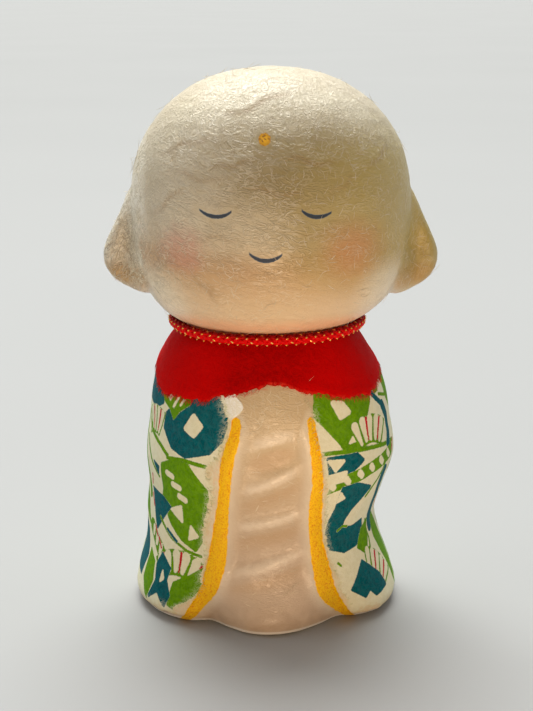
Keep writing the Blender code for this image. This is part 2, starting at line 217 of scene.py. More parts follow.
# Light, with colours as linear light
WORLD_FRONT = (0.13, 0.11, 0.085)
WORLD_BACK = (0.55, 0.57, 0.57)
WORLD_TOP = (0.75, 0.77, 0.76)
WORLD_TOP_WAY = (-0.10, 0.50, 0.86)
SUN_FROM = (-0.06, 0.49, 0.87)
SUN_STRENGTH = 4.10
SUN_SOFTNESS = math.radians(44)
SUN_TINT = (1.0, 0.99, 0.93)

# Lamps: name, place, target, size, spread in degrees, power, tint
LAMPS = (
    ("near_warm_fill", (0.01, -0.125, 0.014), (0.01, -0.015, 0.041), (0.024, 0.024), 84, 0.0162,
     (1.0, 0.68, 0.42)),
    ("left_cool_fill", (-0.50, -0.02, 0.30), (0, 0, 0.06), (0.35, 0.35), 180, 0.25, (1.0, 0.97, 0.91)),
    ("bright_pane_behind", (-0.17, 0.37, 0.78), (0, 0, 0.09), (0.17, 0.10), 180, 0.80, (1.0, 1.0, 0.97)),
)


# Small numeric helpers


def smooth_curve(knots, values, at):
    """Values at `at` on a smooth curve through the knots, flat beyond its two ends."""
    at = np.clip(at, knots[0], knots[-1])
    slopes = np.gradient(values, knots)
    i = np.clip(np.searchsorted(knots, at, side="right") - 1, 0, len(knots) - 2)
    span = knots[i + 1] - knots[i]
    t = (at - knots[i]) / span
    return (
        (2 * t**3 - 3 * t**2 + 1) * values[i]
        + (t**3 - 2 * t**2 + t) * span * slopes[i]
        + (3 * t**2 - 2 * t**3) * values[i + 1]
        + (t**3 - t**2) * span * slopes[i + 1]
    )


def curve(table, at, column=1):
    """The smooth curve of one column of a table, whose first column holds the knots."""
    table = np.array(table, float)
    return smooth_curve(table[:, 0], table[:, column], at)


def smooth_step(low, high, value):
    t = np.clip((value - low) / (high - low), 0.0, 1.0)
    return t * t * (3 - 2 * t)


def bell(distance):
    return np.exp(-(distance**2))


def lattice(i, j, k, seed):
    """A steady random number from 0 to 1 for each whole-numbered point."""
    h = i * 374761393 + j * 668265263 + k * 2147483647 + seed * 144665
    h = (h ^ (h >> 13)) * 1274126177
    h = h ^ (h >> 16)
    return (h & 0xFFFFFF) / float(0xFFFFFF)


def noise(points, cell, seed):
    """Smooth noise from -1 to 1 at points, whose lumps are about one cell wide."""
    at = np.asarray(points, float) / cell + 1000.0
    low = np.floor(at).astype(np.int64)
    t = at - low
    t = t * t * t * (t * (6 * t - 15) + 10)
    total = 0.0
    for corner in itertools.product((0, 1), repeat=3):
        x, y, z = (t[..., k] if far else 1 - t[..., k] for k, far in enumerate(corner))
        ends = (low[..., k] + far for k, far in enumerate(corner))
        total = total + x * y * z * lattice(*ends, seed)
    return 2 * total - 1


def layered(points, layers):
    """Noise of several widths, each layer given as its height, width and seed."""
    return sum(height * noise(points, cell, seed) for height, cell, seed in layers)


def flat_points(u, z=0.0):
    return np.stack(np.broadcast_arrays(u, z, 0.0), axis=-1)


def arc_distance(angle):
    """Distance round the body from the middle of its front, up to half a turn each way."""
    return ARC_RADIUS * np.where(angle > math.pi, angle - 2 * math.pi, angle)


# The figure's surface


def between_lapels(x, z, near, far):
    """From 0 at the gold strips to 1 on the panel between them."""
    left, right = curve(GOLD_LEFT, z), curve(GOLD_RIGHT, z)
    return smooth_step(left + near, left + far, x) * smooth_step(near - right, far - right, -x)


def fold_places(x, z):
    """For each fold: how far a point is above it, and how far across it, with its rise."""
    for height, climb, curl, middle, half_width, rise in FOLDS:
        yield z - (height + climb * x + curl * x * x), (x - middle) / half_width, rise


def above_oval(x, z):
    return z - OVAL["z"] - OVAL["climb"] * (x - OVAL["x"])


def oval_hollow(x, z):
    away = np.hypot((x - OVAL["x"]) / OVAL["half_width"], above_oval(x, z) / OVAL["half_height"])
    return 1 - smooth_step(*OVAL_EDGE, away)


def draped_folds(x, z):
    relief = np.zeros_like(x)
    for above, across, rise in fold_places(x, z):
        ridge = bell(above / np.where(above > 0, FOLD_ABOVE, FOLD_BELOW))
        relief = relief + rise * ridge * np.clip(1 - (across / FOLD_REACH) ** 2, 0, 1)
    return relief - OVAL["depth"] * oval_hollow(x, z)


def front_relief(x, z):
    """How far the front of the body stands forward of its plain section, at X and height Z."""
    inside = between_lapels(x, z, *PANEL_EDGE)
    reach = (1 - smooth_step(*CHEST_FADE, z)) * smooth_step(*HEM_FADE, z)
    lapels = sum(bell((x - curve(line, z)) / LAPEL_HALF_WIDTH) for line in (GOLD_LEFT, GOLD_RIGHT))
    belly = bell((x - BELLY["x"]) / BELLY["half_width"]) * bell((z - BELLY["z"]) / BELLY["half_height"])
    hem = curve(HEM_RELIEF, x) * (1 - smooth_step(0, HEM_RELIEF_TOP_Z, z))
    moulded = (LAPEL_RISE * lapels - PANEL_RECESS * inside) * reach
    return moulded + draped_folds(x, z) * inside + BELLY["rise"] * belly + hem


def body_sizes(z):
    """Reach of the body to the left, right, front and back at a height."""
    left, right = NECK_HALF_WIDTH - NECK_CENTRE_X, NECK_HALF_WIDTH + NECK_CENTRE_X
    table = (*BODY_SECTIONS, (NECK_Z, left, right, NECK_HALF_DEPTH, NECK_HALF_DEPTH))
    under = np.clip((HEM_Z - z) / HEM_Z, 0, 1)
    tuck = HEM_ROUNDING * (1 - np.sqrt(1 - under**2))
    return [curve(table, z, column) - tuck for column in range(1, 5)]


def section_point(angle, left, right, front, back, power):
    s, c = np.sin(angle), np.cos(angle)
    x = np.where(s > 0, right, left) * np.sign(s) * np.abs(s) ** (2 / power)
    y = -np.where(c > 0, front, back) * np.sign(c) * np.abs(c) ** (2 / power)
    return x, y


def plain_body_point(angle, z):
    angle, z = np.broadcast_arrays(np.asarray(angle, float), np.asarray(z, float))
    x, y = section_point(angle, *body_sizes(z), SECTION_POWER)
    return np.stack([x, y, z], axis=-1)


def carve_front(points):
    """Moves points of the plain body forward or back, as the front relief says."""
    x, y, z = points.T
    height = np.clip(z, 0, NECK_Z)
    cosine = np.clip(-y / body_sizes(height)[2], 0, 1) ** (SECTION_POWER / 2)
    facing = smooth_step(0.0, 0.55, cosine) * (z < NECK_Z)
    return np.stack([x, y - facing * front_relief(x, height), z], axis=-1)


def long_creases(points):
    """A few longer creases in the skin of the forehead and the cheeks."""
    x, y, z = np.moveaxis(points, -1, 0)
    total = np.zeros_like(x)
    for (ax, az), (bx, bz), rise in LONG_CREASES:
        along = ((x - ax) * (bx - ax) + (z - az) * (bz - az)) / ((bx - ax) ** 2 + (bz - az) ** 2)
        held = np.clip(along, 0, 1)
        wave = CREASE_SWAY * np.sin(CREASE_SWAYS * held + ax)
        off = np.hypot(x - ax - held * (bx - ax), z - az - held * (bz - az) + wave)
        total = np.maximum(total, rise * bell(off / CREASE_WIDTH) * np.sqrt(4 * held * (1 - held) + 0.01))
    return total * smooth_step(4.0, 9.0, -y)


def hand_made(points):
    """How far a hand-laid skin stands proud: long lumps, dents and short ripples."""
    wrinkles = layered(points / WRINKLE_SIZE, WRINKLES) * smooth_step(*WRINKLE_FADE, points[..., 2])
    return layered(points, SKIN_LUMPS) + wrinkles + long_creases(points)


def body_surface(angle, z):
    """The body's finished surface and its outward normals, on a grid."""

    def at(a, h):
        points = plain_body_point(a, h)
        return carve_front(points.reshape(-1, 3)).reshape(points.shape)

    turn, rise = 2e-3, 0.02
    along = at(angle + turn, z) - at(angle - turn, z)
    up = at(angle, z + rise) - at(angle, np.maximum(z - rise, 0.0))
    normal = np.cross(along, up)
    normal /= np.linalg.norm(normal, axis=-1, keepdims=True)
    surface = at(angle, z)
    return surface + normal * hand_made(surface)[..., None], normal


# Meshes


def link(name, data):
    made = bpy.data.objects.new(name, data)
    bpy.context.scene.collection.objects.link(made)
    return made


def mesh_from(name, points, faces, smooth=True):
    mesh = bpy.data.meshes.new(name)
    mesh.from_pydata((np.asarray(points) * MM).tolist(), [], faces)
    mesh.update()
    if smooth:
        mesh.shade_smooth()
    return mesh


def get_vectors(source, name):
    flat = np.empty(len(source) * 3)
    source.foreach_get(name, flat)
    return flat.reshape(-1, 3)


def get_points(mesh):
    return get_vectors(mesh.vertices, "co") / MM


def set_points(mesh, points):
    mesh.vertices.foreach_set("co", (points * MM).ravel())
    mesh.update()


def add_field(mesh, name, values):
    field = mesh.attributes.new(name, "FLOAT", "POINT")
    field.data.foreach_set("value", np.asarray(values, np.float32).ravel())


def loft(rings, bottom, top):
    """A closed skin over a stack of rings, with a point at each end."""
    count = len(rings[0])
    points = np.array([bottom, *np.concatenate(rings), top])
    last = 1 + (len(rings) - 1) * count
    faces = []
    for j in range(count):
        k = (j + 1) % count
        faces.append((0, 1 + k, 1 + j))
        for low in range(1, last, count):
            faces.append((low + j, low + k, low + count + k, low + count + j))
        faces.append((last + j, last + k, len(points) - 1))
    return points, faces


def tube(path, radii, sides, closed, up, height=1.0):
    """Points and faces of a tube that follows a path, round or flattened to a share of its width."""
    path = np.asarray(path)
    if closed:
        ahead = np.roll(path, -1, axis=0) - np.roll(path, 1, axis=0)
    else:
        ahead = np.gradient(path, axis=0)
    ahead /= np.linalg.norm(ahead, axis=1, keepdims=True)
    side = np.cross(ahead, up)
    side /= np.linalg.norm(side, axis=1, keepdims=True)
    out = np.cross(side, ahead) * height
    turn = 2 * math.pi * np.arange(sides) / sides
    radii = np.broadcast_to(radii, (len(path),))
    ring = np.cos(turn)[None, :, None] * side[:, None] + np.sin(turn)[None, :, None] * out[:, None]
    points = (path[:, None] + radii[:, None, None] * ring).reshape(-1, 3)
    faces = []
    for i in range(len(path) if closed else len(path) - 1):
        n = (i + 1) % len(path)
        for j in range(sides):
            k = (j + 1) % sides
            faces.append((i * sides + j, i * sides + k, n * sides + k, n * sides + j))
    if not closed:
        faces.append(tuple(reversed(range(sides))))
        faces.append(tuple((len(path) - 1) * sides + j for j in range(sides)))
    return points, faces


class Gathered:
    """Collects many small meshes into one, with a mark for each."""

    def __init__(self):
        self.points, self.faces, self.marks, self.size = [], [], [], 0

    def add(self, points, faces, mark=0.0):
        self.points.append(points)
        self.faces += [tuple(self.size + v for v in face) for face in faces]
        self.marks.append(np.full(len(points), mark))
        self.size += len(points)

    def link(self, name, smooth=True):
        mesh = mesh_from(name, np.concatenate(self.points), self.faces, smooth)
        add_field(mesh, "mark", np.concatenate(self.marks))
        return link(name, mesh)


# The figure


def head_ring(angle, tilt):
    """A level ring of the head: tilt runs from under the chin through 0 to the crown."""
    chin_share = NECK_HALF_WIDTH / HEAD_HALF_WIDTH
    if tilt > 0:
        share = math.cos(tilt) ** (2 / CROWN_POWER)
        z = HEAD_CENTRE_Z + math.sin(tilt) ** (2 / CROWN_POWER) * (HEIGHT - HEAD_CENTRE_Z)
        width, depth = HEAD_HALF_WIDTH * share, HEAD_HALF_DEPTH * share
    else:
        drop = (HEAD_CENTRE_Z - CHIN_Z) / (1 - chin_share**CHEEK_POWER) ** (1 / CHEEK_POWER)
        z = HEAD_CENTRE_Z - math.sin(-tilt) ** (2 / CHEEK_POWER) * drop
        full = (math.cos(tilt) ** (2 / CHEEK_POWER) - chin_share) / (1 - chin_share)
        width = NECK_HALF_WIDTH + (HEAD_HALF_WIDTH - NECK_HALF_WIDTH) * full
        depth = NECK_HALF_DEPTH + (HEAD_HALF_DEPTH - NECK_HALF_DEPTH) * full
    x, y = section_point(angle, width, width, depth, depth, 2.0)
    above_neck = smooth_step(CHIN_TILT, CHIN_TILT / 3, tilt)
    shift = NECK_CENTRE_X + (HEAD_CENTRE_X - NECK_CENTRE_X) * above_neck
    return np.stack([x + shift, y, np.full_like(x, z)], axis=-1)


def closed_outline(corners, count):
    corners = np.array(corners, float)
    wrapped = np.concatenate([corners[-2:], corners, corners[:3]])
    at = np.arange(count) * len(corners) / count
    steps = np.arange(-2, len(corners) + 3)
    return np.stack([smooth_curve(steps, wrapped[:, k], at) for k in (0, 1)], axis=-1)


def ear_form(side):
    outline = closed_outline(EAR_OUTLINE, 72)
    centre = outline.mean(axis=0)

    def ring(share, front):
        x, z = (centre + (outline - centre) * share).T
        root = (1 - smooth_step(*EAR_ROOT_REACH, x)) * (1 - share**3)
        half_depth = EAR_RIM_HALF_DEPTH * math.sqrt(max(0.0, 1 - share**4))
        if front:
            away_x = (x - EAR_HOLLOW_CENTRE[0]) / EAR_HOLLOW_SIZE[0]
            away_z = (z - EAR_HOLLOW_CENTRE[1]) / EAR_HOLLOW_SIZE[1]
            hollow = EAR_HOLLOW * bell(away_x) * bell(away_z) * (1 - share**4)
            y = EAR_CENTRE_Y - half_depth - EAR_ROOT_FRONT * root + hollow
        else:
            y = EAR_CENTRE_Y + half_depth + EAR_ROOT_BACK * root
        return np.stack([HEAD_CENTRE_X + side * x, y, z], axis=-1)

    shares = np.sin(np.linspace(0.0, math.pi / 2, 25))[1:]
    rings = [ring(s, True) for s in shares] + [ring(s, False) for s in shares[-2::-1]]
    points, faces = loft(rings, ring(0.0, True)[0], ring(0.0, False)[0])
    return points, faces if side > 0 else [face[::-1] for face in faces]


def plain_figure():
    """Head, ears and body, joined into one skin by a fine voxel grid."""
    angles = np.linspace(0, 2 * math.pi, 200, endpoint=False)
    hem = HEM_Z * (1 - np.cos(np.linspace(0.0, math.pi / 2, 9)))
    rings = [plain_body_point(angles, z) for z in (*hem[:-1], *np.linspace(HEM_Z, NECK_Z, 90))]
    tilts = [*np.linspace(CHIN_TILT, 0.0, 40, endpoint=False)]
    tilts += [*np.linspace(0.001, math.pi / 2, 60, endpoint=False)]
    rings += [head_ring(angles, tilt) for tilt in tilts]
    whole = Gathered()
    whole.add(*loft(rings, (0, 0, 0), (HEAD_CENTRE_X, 0, HEIGHT)))
    for side in (-1, 1):
        whole.add(*ear_form(side))
    figure = whole.link("washi_figure")
    skin = figure.modifiers.new("skin", "REMESH")
    skin.mode = "VOXEL"
    skin.voxel_size = 0.43 * MM
    relax = figure.modifiers.new("relax", "SMOOTH")
    relax.factor = 0.5
    relax.iterations = 5
    bpy.context.view_layer.update()
    seen = figure.evaluated_get(bpy.context.evaluated_depsgraph_get())
    mesh = bpy.data.meshes.new_from_object(seen)
    figure.modifiers.clear()
    figure.data = mesh
    mesh.shade_smooth()
    return figure


def make_figure():
    """The figure carved and made uneven, with the fields that its material reads."""
    figure = plain_figure()
    mesh = figure.data
    points = carve_front(get_points(mesh))
    set_points(mesh, points)
    resting = smooth_step(0.0, 1.2, points[:, 2])
    normals = get_vectors(mesh.vertex_normals, "vector")
    points = points + normals * (hand_made(points) * resting)[:, None]
    points[:, 2] = np.maximum(points[:, 2], 0.0)
    set_points(mesh, points)
    shown = 0.25 + 0.75 * np.clip(fibre_chance(points) / 0.55, 0, 1)
    below = points + (0.0, 0.0, CREASE_SHADE_DROP)
    fields = {
        "gold_edge": gold_distance(points),
        # Painted light and shade of the folds
        "fold": fold_light_and_shade(points),
        "fibre_share": np.where(points[:, 2] < NECK_Z, 0.85, shown),
        "crease_share": crease_share(points) * shown,
        # Painted shade that falls just under the long creases
        "crease_shade_below": long_creases(below) / CREASE_FULL_SHADE,
    }
    for name, values in fields.items():
        add_field(mesh, name, values)
    return figure


def crease_share(points):
    """How clear the fine creases are: most at the left temple, least on the body and the crown."""
    x, y, z = points.T
    right = smooth_step(0.0, 10.0, x) * (1 - smooth_step(80.0, 86.0, z))
    crown = smooth_step(82.0, 93.0, z)
    left_ear = smooth_step(20.5, 22.0, -x) * (1 - smooth_step(70.0, 75.0, z)) * (y < 4)
    head = np.clip(1 - 0.60 * right - 0.48 * crown, 0.3, 1.0) + 1.4 * left_ear
    return np.where(z < NECK_Z, 0.46, head)


def fold_light_and_shade(points):
    """From -1 in the hollows under the folds of the inner garment to 1 on their crests, for painted shade
    in the hollows and a painted highlight on the crests.
    """
    x, y, z = points.T
    inside = between_lapels(x, z, 0.8, 4.6)
    reach = smooth_step(5.0, 9.0, z) * (1 - smooth_step(36.0, 38.5, z)) * (y < -8)
    crest, hollow = np.zeros_like(x), np.zeros_like(x)
    for above, off, _ in fold_places(x, z):
        across = np.sqrt(np.clip(1 - (off / 1.55) ** 2, 0, 1))
        crest = np.maximum(crest, across * bell(above / np.where(above > 0, 1.25, 1.2)))
        hollow = np.maximum(hollow, across * bell((above + 2.6) / np.where(above > -2.6, 1.2, 2.4)))
    over_oval = above_oval(x, z) - OVAL["half_height"] - 1.2
    belly = bell(over_oval / 1.5) * bell((x - OVAL["x"]) / 6.5)
    hollow = np.maximum(0.75 * hollow, 0.9 * oval_hollow(x, z))
    return (np.maximum(crest, belly) - hollow * (1 - crest)) * inside * reach


def gold_distance(points):
    """Signed distance to the edge of the nearest gold strip, negative on the gold."""
    x, y, z = points.T
    best = np.full(len(points), 9.0)
    for line in (GOLD_LEFT, GOLD_RIGHT):
        middle, half_width = curve(line, z), curve(line, z, 2)
        slope = curve(line, z + 0.5) - curve(line, z - 0.5)
        across = np.abs(x - middle) / np.sqrt(1 + slope**2) - half_width
        over_top = z - GOLD_TOP_Z + 0.5 * ((x - middle) / half_width) ** 2
        best = np.minimum(best, np.maximum(across, over_top))
    return np.where(y < 0, best, 9.0)


# Print on the robe paper, painted on arc distance U and height Z


def heading(degrees):
    return np.array([math.cos(math.radians(degrees)), math.sin(math.radians(degrees))])


def pairs(flat):
    return list(zip(flat[::2], flat[1::2]))


class Print:
    """Three inks as signed distances, negative where the ink lies. Later shapes cover earlier."""

    INKS = ("teal", "green", "red")
    FAR = 1.5

    def __init__(self, u, z, *stencils):
        self.u, self.z = u, z
        self.ink = {name: np.full(u.shape, self.FAR) for name in self.INKS}
        kinds = {"area": self.area, "line": self.line, "ribs": self.ribs, "ladder": self.ladder}
        for kind, *values in itertools.chain(*stencils):
            kinds[kind](*values)

    def lay(self, name, shape):
        for other, field in self.ink.items():
            covered = np.minimum(field, shape) if other == name else np.maximum(field, -shape)
            self.ink[other] = covered

    def away_from(self, start, end):
        """Distance to a line, and how far along it the nearest place is, from 0 to 1."""
        eu, ez = end[0] - start[0], end[1] - start[1]
        wu, wz = self.u - start[0], self.z - start[1]
        t = np.clip((wu * eu + wz * ez) / (eu * eu + ez * ez), 0, 1)
        return np.hypot(wu - t * eu, wz - t * ez), t

    def area(self, ink, rounding, *corners):
        """A filled shape with rounded corners. Its inside is found by counting crossings."""
        corners = pairs(corners)
        distance = np.full(self.u.shape, np.inf)
        inside = np.zeros(self.u.shape, bool)
        for start, end in zip(corners, (*corners[1:], corners[0])):
            distance = np.minimum(distance, self.away_from(start, end)[0])
            rise = end[1] - start[1]
            if rise:
                crosses = (start[1] > self.z) != (end[1] > self.z)
                at = start[0] + (self.z - start[1]) / rise * (end[0] - start[0])
                inside ^= crosses & (self.u < at)
        self.lay(ink, np.where(inside, -distance, distance) - rounding)

    def line(self, ink, width, *points):
        points = pairs(points)
        for start, end in zip(points, points[1:]):
            self.taper(ink, start, end, width, width)

    def taper(self, ink, start, end, start_width, end_width):
        distance, t = self.away_from(start, end)
        self.lay(ink, distance - (start_width + (end_width - start_width) * t) / 2)

    def ribs(self, ground, u, z, first, last, count, inner, outer):
        """White ribs that spread from a point on a coloured ground, with red stripes between."""
        centre = np.array([u, z])
        gap = (last - first) / (count - 1)
        direction = np.degrees(np.arctan2(self.z - z, self.u - u)) % 360
        radius = np.hypot(self.u - u, self.z - z)
        off = np.maximum(first - gap * 0.6 - direction, direction - last - gap * 0.6)
        band = np.abs(radius - (inner + outer) / 2) - (outer - inner) / 2
        self.lay(ground, np.maximum(band, np.radians(off) * radius))
        near, far = inner * math.radians(gap) * 0.62, outer * math.radians(gap) * 0.74
        for k in range(count):
            way = heading(first + gap * k)
            self.taper(None, centre + way * (inner + near), centre + way * (outer - far / 2), near, far)
        for k in range(0, count - 1, 2):
            way = heading(first + gap * (k + 0.5))
            self.taper("red", centre + way * (inner + 0.7), centre + way * (outer - 0.5), 0.32, 0.62)

    def ladder(self, ink, start_u, start_z, end_u, end_z, width, rungs):
        """A coloured band with a row of white windows."""
        start, end = np.array([start_u, start_z]), np.array([end_u, end_z])
        self.taper(ink, start, end, width, width)
        length = np.linalg.norm(end - start)
        along = (end - start) / length
        reach = np.array([-along[1], along[0]]) * width * 0.17 - along * 0.3
        wide = min(width * 0.5, 0.62 * length / rungs)
        for k in range(rungs):
            middle = start + (end - start) * (k + 0.5) / rungs
            self.taper(None, middle - reach, middle + reach, wide * 0.85, wide)


# Stencils. An area has its ink, rounding and corners, a line its ink, width and points, ribs their
# ground, centre, first and last direction, count, inner and outer radius, a ladder its ink, two
# ends, width and number of rungs. No ink leaves the paper bare.
STENCIL_LEFT = (
    ("area", "teal", 0.5, -8.4, 41.7, -6.7, 38.2, -7.7, 34.6, -9.8, 32.2, -14.6, 30.8, -17.9, 31.8,
     -20.8, 34.6, -20.4, 36.9, -17.2, 39.4, -13.6, 41.7),
    ("area", None, 0.5, -13.2, 37.8, -11.6, 36.3, -13.1, 34.6, -14.9, 35.5),
    ("area", "teal", 0.3, -30.5, 43, -25, 42.4, -22, 40.2, -21.8, 38.7, -24.6, 37.4, -30.5, 38),
    ("area", "green", 0.25, -22.6, 41, -18, 41.8, -13.9, 41.2, -14.4, 39.6, -16.7, 38.2, -18.2, 36.6,
     -19.4, 38.2, -21.4, 39.2),
    ("area", None, 0.2, -20.6, 40.3, -18.9, 40.5, -19.5, 39.5),
    ("line", None, 0.62, -17.3, 40.3, -18.4, 38.6),
    ("line", None, 0.5, -15.6, 40.3, -16.6, 39.1),
    ("ribs", "green", -24.3, 28.4, 74, 119, 5, 4.4, 9.3),
    ("line", "green", 0.75, -30, 35.4, -26.2, 32.9, -21.4, 31.2, -19, 30),
    ("line", "green", 1.7, -31.6, 36, -30.3, 30, -28.6, 25, -27.6, 20.6),
    ("line", "green", 0.6, -28.4, 31.4, -25.2, 28, -22, 25.4),
    ("area", "green", 0.4, -20.6, 28, -17.3, 29.4, -14, 29.2, -10.2, 25.2, -9.6, 21, -11.2, 19, -11.4,
     15.6, -12.4, 14, -15.4, 15.3, -18, 17.4, -19.6, 19.3, -21.8, 20.8, -20.8, 23.4),
    ("line", "green", 0.7, -19, 29.6, -15, 30, -10.2, 29.6),
    ("line", None, 1.15, -19, 26.9, -17.6, 26.5),
    ("line", None, 1.25, -17.6, 25, -16.1, 24.7),
    ("line", None, 1.2, -16.3, 23.1, -14.9, 22.6),
    ("area", None, 0.3, -18.4, 20.2, -16, 21.2, -15.6, 18.5),
    ("area", None, 0.25, -13.6, 18, -12, 16.4, -13.8, 15.6),
    ("area", "teal", 0.25, -26, 22.3, -21.4, 21.7, -18.8, 20.5, -23.2, 15.4, -24.6, 18.4),
    ("area", "teal", 0.2, -23.8, 27.9, -21.7, 27.3, -22.1, 25.9),
    ("line", "red", 0.45, -25.4, 25, -26.2, 22.9),
    ("line", "green", 0.55, -22.2, 17.8, -18.2, 14.9, -14.2, 13.4, -11.2, 13),
    ("line", "teal", 0.6, -19.4, 16.2, -16.8, 14.6),
    ("ladder", "green", -25.6, 15.2, -20.8, 11.2, 2.7, 3),
    ("line", "red", 0.45, -24, 15.6, -22.9, 14),
    ("line", "red", 0.45, -22.4, 13.8, -21.4, 12.2),
    ("ribs", "green", -15.7, 3.6, 50, 128, 6, 5, 9.6),
    ("area", "green", 0.35, -17, 3.2, -16.2, 7.2, -12.8, 9.2, -10.7, 10.8, -10.3, 8.4, -11, 6.3, -13.2,
     4, -15.4, 2.6),
    ("area", "teal", 0.3, -22.8, 3, -20.2, 4.8, -18, 2.6, -17, 4.8, -18.2, 7.4, -17.8, 9.4, -20.6,
     11.4, -21.8, 9.2, -21, 6.6),
    ("area", None, 0.18, -19.6, 8.6, -18.9, 7.3, -19.8, 6.6),
    ("area", "green", 0.3, -25.4, 10.8, -22.9, 9.2, -22.2, 6.2, -23.8, 2.4, -26, 5.4),
    ("area", "teal", 0.35, -31.5, 15.5, -28.2, 13.6, -26.6, 9.4, -28, 5.4, -32, 6),
    ("area", "green", 0.3, -32.2, 22, -29, 19.4, -27.2, 15.2, -30, 16.6, -32.4, 18.4),
    ("line", "red", 0.45, -26.4, 21, -25.2, 19),
)
STENCIL_RIGHT = (
    ("area", "green", 0.5, 6.5, 42.4, 20.2, 42.2, 20.2, 39.8, 18.4, 37.2, 16.9, 34.4, 16.6, 32.3, 12.6,
     32.3, 11.8, 33.6, 9.4, 36.4, 7.4, 38.4),
    ("area", None, 0.5, 11, 40.2, 13, 39.9, 14.2, 38.4, 12.2, 37.8),
    ("area", None, 0.2, 13.6, 33.2, 15.9, 33.4, 15.3, 35),
    ("line", "green", 0.75, 7.9, 32.2, 13, 31.8, 19, 31.4, 28, 30.6),
    ("ribs", "green", 18.7, 27, 60, 112, 5, 5.2, 10.2),
    ("line", "teal", 1.1, 19.8, 42, 22.4, 39.4, 24.8, 37.6),
    ("line", "teal", 1.9, 24.8, 37.6, 26.2, 35.4, 26.4, 32.6, 25.2, 30.6),
    ("area", "green", 0.25, 21.6, 42.8, 24.6, 42.9, 24.2, 40.4, 22.6, 40.2),
    ("line", "green", 0.6, 24.2, 39.6, 27.4, 38.8, 30.5, 39.4),
    ("area", "green", 0.3, 28.4, 43.5, 32.5, 43.5, 31.8, 39, 29.8, 36.4, 28, 38.2),
    ("area", "teal", 0.3, 9, 31.2, 15, 31.1, 16.4, 29.8, 13.6, 28.2, 9.4, 26.8),
    ("area", None, 0.3, 9.2, 30.7, 12, 30.4, 10.3, 28.9),
    ("ladder", "green", 8.4, 25.9, 26.4, 29.2, 2.5, 6),
    ("area", None, 0.35, 8.6, 28, 12.4, 28.3, 12, 26.9, 8.9, 26.7),
    ("area", "teal", 0.45, 12.4, 25.3, 15.4, 25.5, 19.8, 24, 17.8, 22.4, 15.6, 21, 14.2, 19.2, 14,
     17.7, 16.8, 17.1, 20.4, 17.6, 20.8, 15.8, 18.4, 13.9, 14.6, 13.4, 11.2, 14.6, 10.6, 17.2, 10.9,
     19.6, 11.9, 21.8),
    ("area", None, 0.2, 12.1, 24.6, 13.2, 23.4, 11.8, 22.9),
    ("line", "green", 0.5, 13.2, 17.3, 14.4, 18, 15.6, 17.7),
    ("line", "teal", 2.3, 24, 26, 24.5, 22, 24.3, 18, 24.9, 15.4),
    ("line", "green", 0.6, 19.4, 22.4, 22, 25, 24.2, 28.2),
    ("area", "green", 0.3, 27.6, 26.6, 31.2, 27.6, 32.4, 21.2, 28.6, 20, 27.2, 22.6),
    ("area", None, 0.2, 29, 25.4, 30.6, 24.8, 29.4, 22.9),
    ("line", "red", 0.5, 27, 29, 28.8, 30.6),
    ("line", "red", 0.45, 26.4, 20.4, 27, 18.2),
    ("area", "green", 0.2, 18.6, 13, 20.6, 15.9, 23.2, 17.2, 22.8, 13.6, 21.2, 11.2),
    ("line", "green", 0.55, 22.4, 17.2, 23.6, 13.4, 22.4, 9.8),
    ("ribs", "green", 18.9, 2.6, 28, 74, 5, 5.4, 10.2),
    ("area", "teal", 0.35, 19, 10.4, 16.4, 8.1, 14.5, 6.3, 17.2, 4.4, 18.8, 5.5, 20.2, 4.1, 24.2, 4.8,
     23, 7, 21.2, 8.6),
    ("area", "green", 0.35, 25.8, 17.4, 29.4, 14.8, 31.6, 10, 31.6, 4.4, 29.6, 3, 28.6, 8, 26.4, 12.8),
    ("line", "teal", 1, 31.2, 19, 32.2, 14.8, 33, 11.8),
    ("line", "green", 0.5, 12.6, 11.6, 13.2, 11),
)
STENCIL_BACK = (
    ("area", "teal", 0.5, 59.8, 41.4, 68.6, 41.6, 71.2, 38.2, 69.6, 34.4, 64.8, 32, 60.4, 34.4),
    ("area", None, 0.5, 64, 38.9, 66.4, 38, 65.6, 35.6, 63.2, 36.4),
    ("line", "green", 0.7, 57, 32, 62, 30.8, 68, 31.2, 73, 29.8),
    ("area", "green", 0.4, 60.4, 28.8, 67.4, 29.4, 71, 25.4, 68.8, 20.8, 63, 18.8, 59.6, 22.8),
    ("line", None, 1.2, 62.6, 26.6, 64.2, 26.2),
    ("line", None, 1.2, 63.8, 24.4, 65.6, 24),
    ("line", None, 1.2, 65.2, 22.2, 66.9, 21.8),
    ("area", "teal", 0.3, 57.6, 18.4, 61.8, 18, 59.4, 13.4),
    ("ribs", "green", 65.8, 7.6, 55, 125, 6, 4.6, 9.4),
    ("area", "teal", 0.4, 60.4, 3.2, 62.6, 8.6, 65.4, 11.2, 69.2, 8.2, 71.4, 3.4, 66, 5.6),
    ("area", "green", 0.3, 71.6, 17.2, 74.4, 14.4, 73.2, 9.6, 70.8, 12.4),
    ("ladder", "green", 60.2, 44, 71.8, 43.4, 1.9, 5),
    ("area", "green", 0.3, 56.2, 40.6, 58, 43.4, 58.9, 38.6, 57.8, 35, 56.2, 36.4),
    ("line", "teal", 1, 74.6, 43.6, 73.2, 40.2, 74.4, 36.8, 76, 34.8),
    ("area", "green", 0.25, 72.4, 36, 75.6, 33.2, 74.4, 31, 72.6, 32.6),
    ("area", "teal", 0.3, 56.2, 29.6, 58.2, 27.4, 57.6, 23.2, 56.2, 22),
    ("area", "teal", 0.3, 72.8, 27.4, 75.8, 26, 75.4, 20.6, 72.4, 22.6, 73.4, 24.8),
    ("line", "red", 0.5, 57.2, 33.2, 58.4, 31),
    ("line", "red", 0.45, 73.8, 19.6, 75.4, 17.8),
    ("area", "green", 0.3, 56.2, 12.6, 57.6, 13.4, 58.9, 9.6, 57.6, 4, 56.2, 4.8),
    ("area", "teal", 0.3, 74.6, 12.2, 75.8, 9, 75.8, 4, 73.9, 4.8),
)
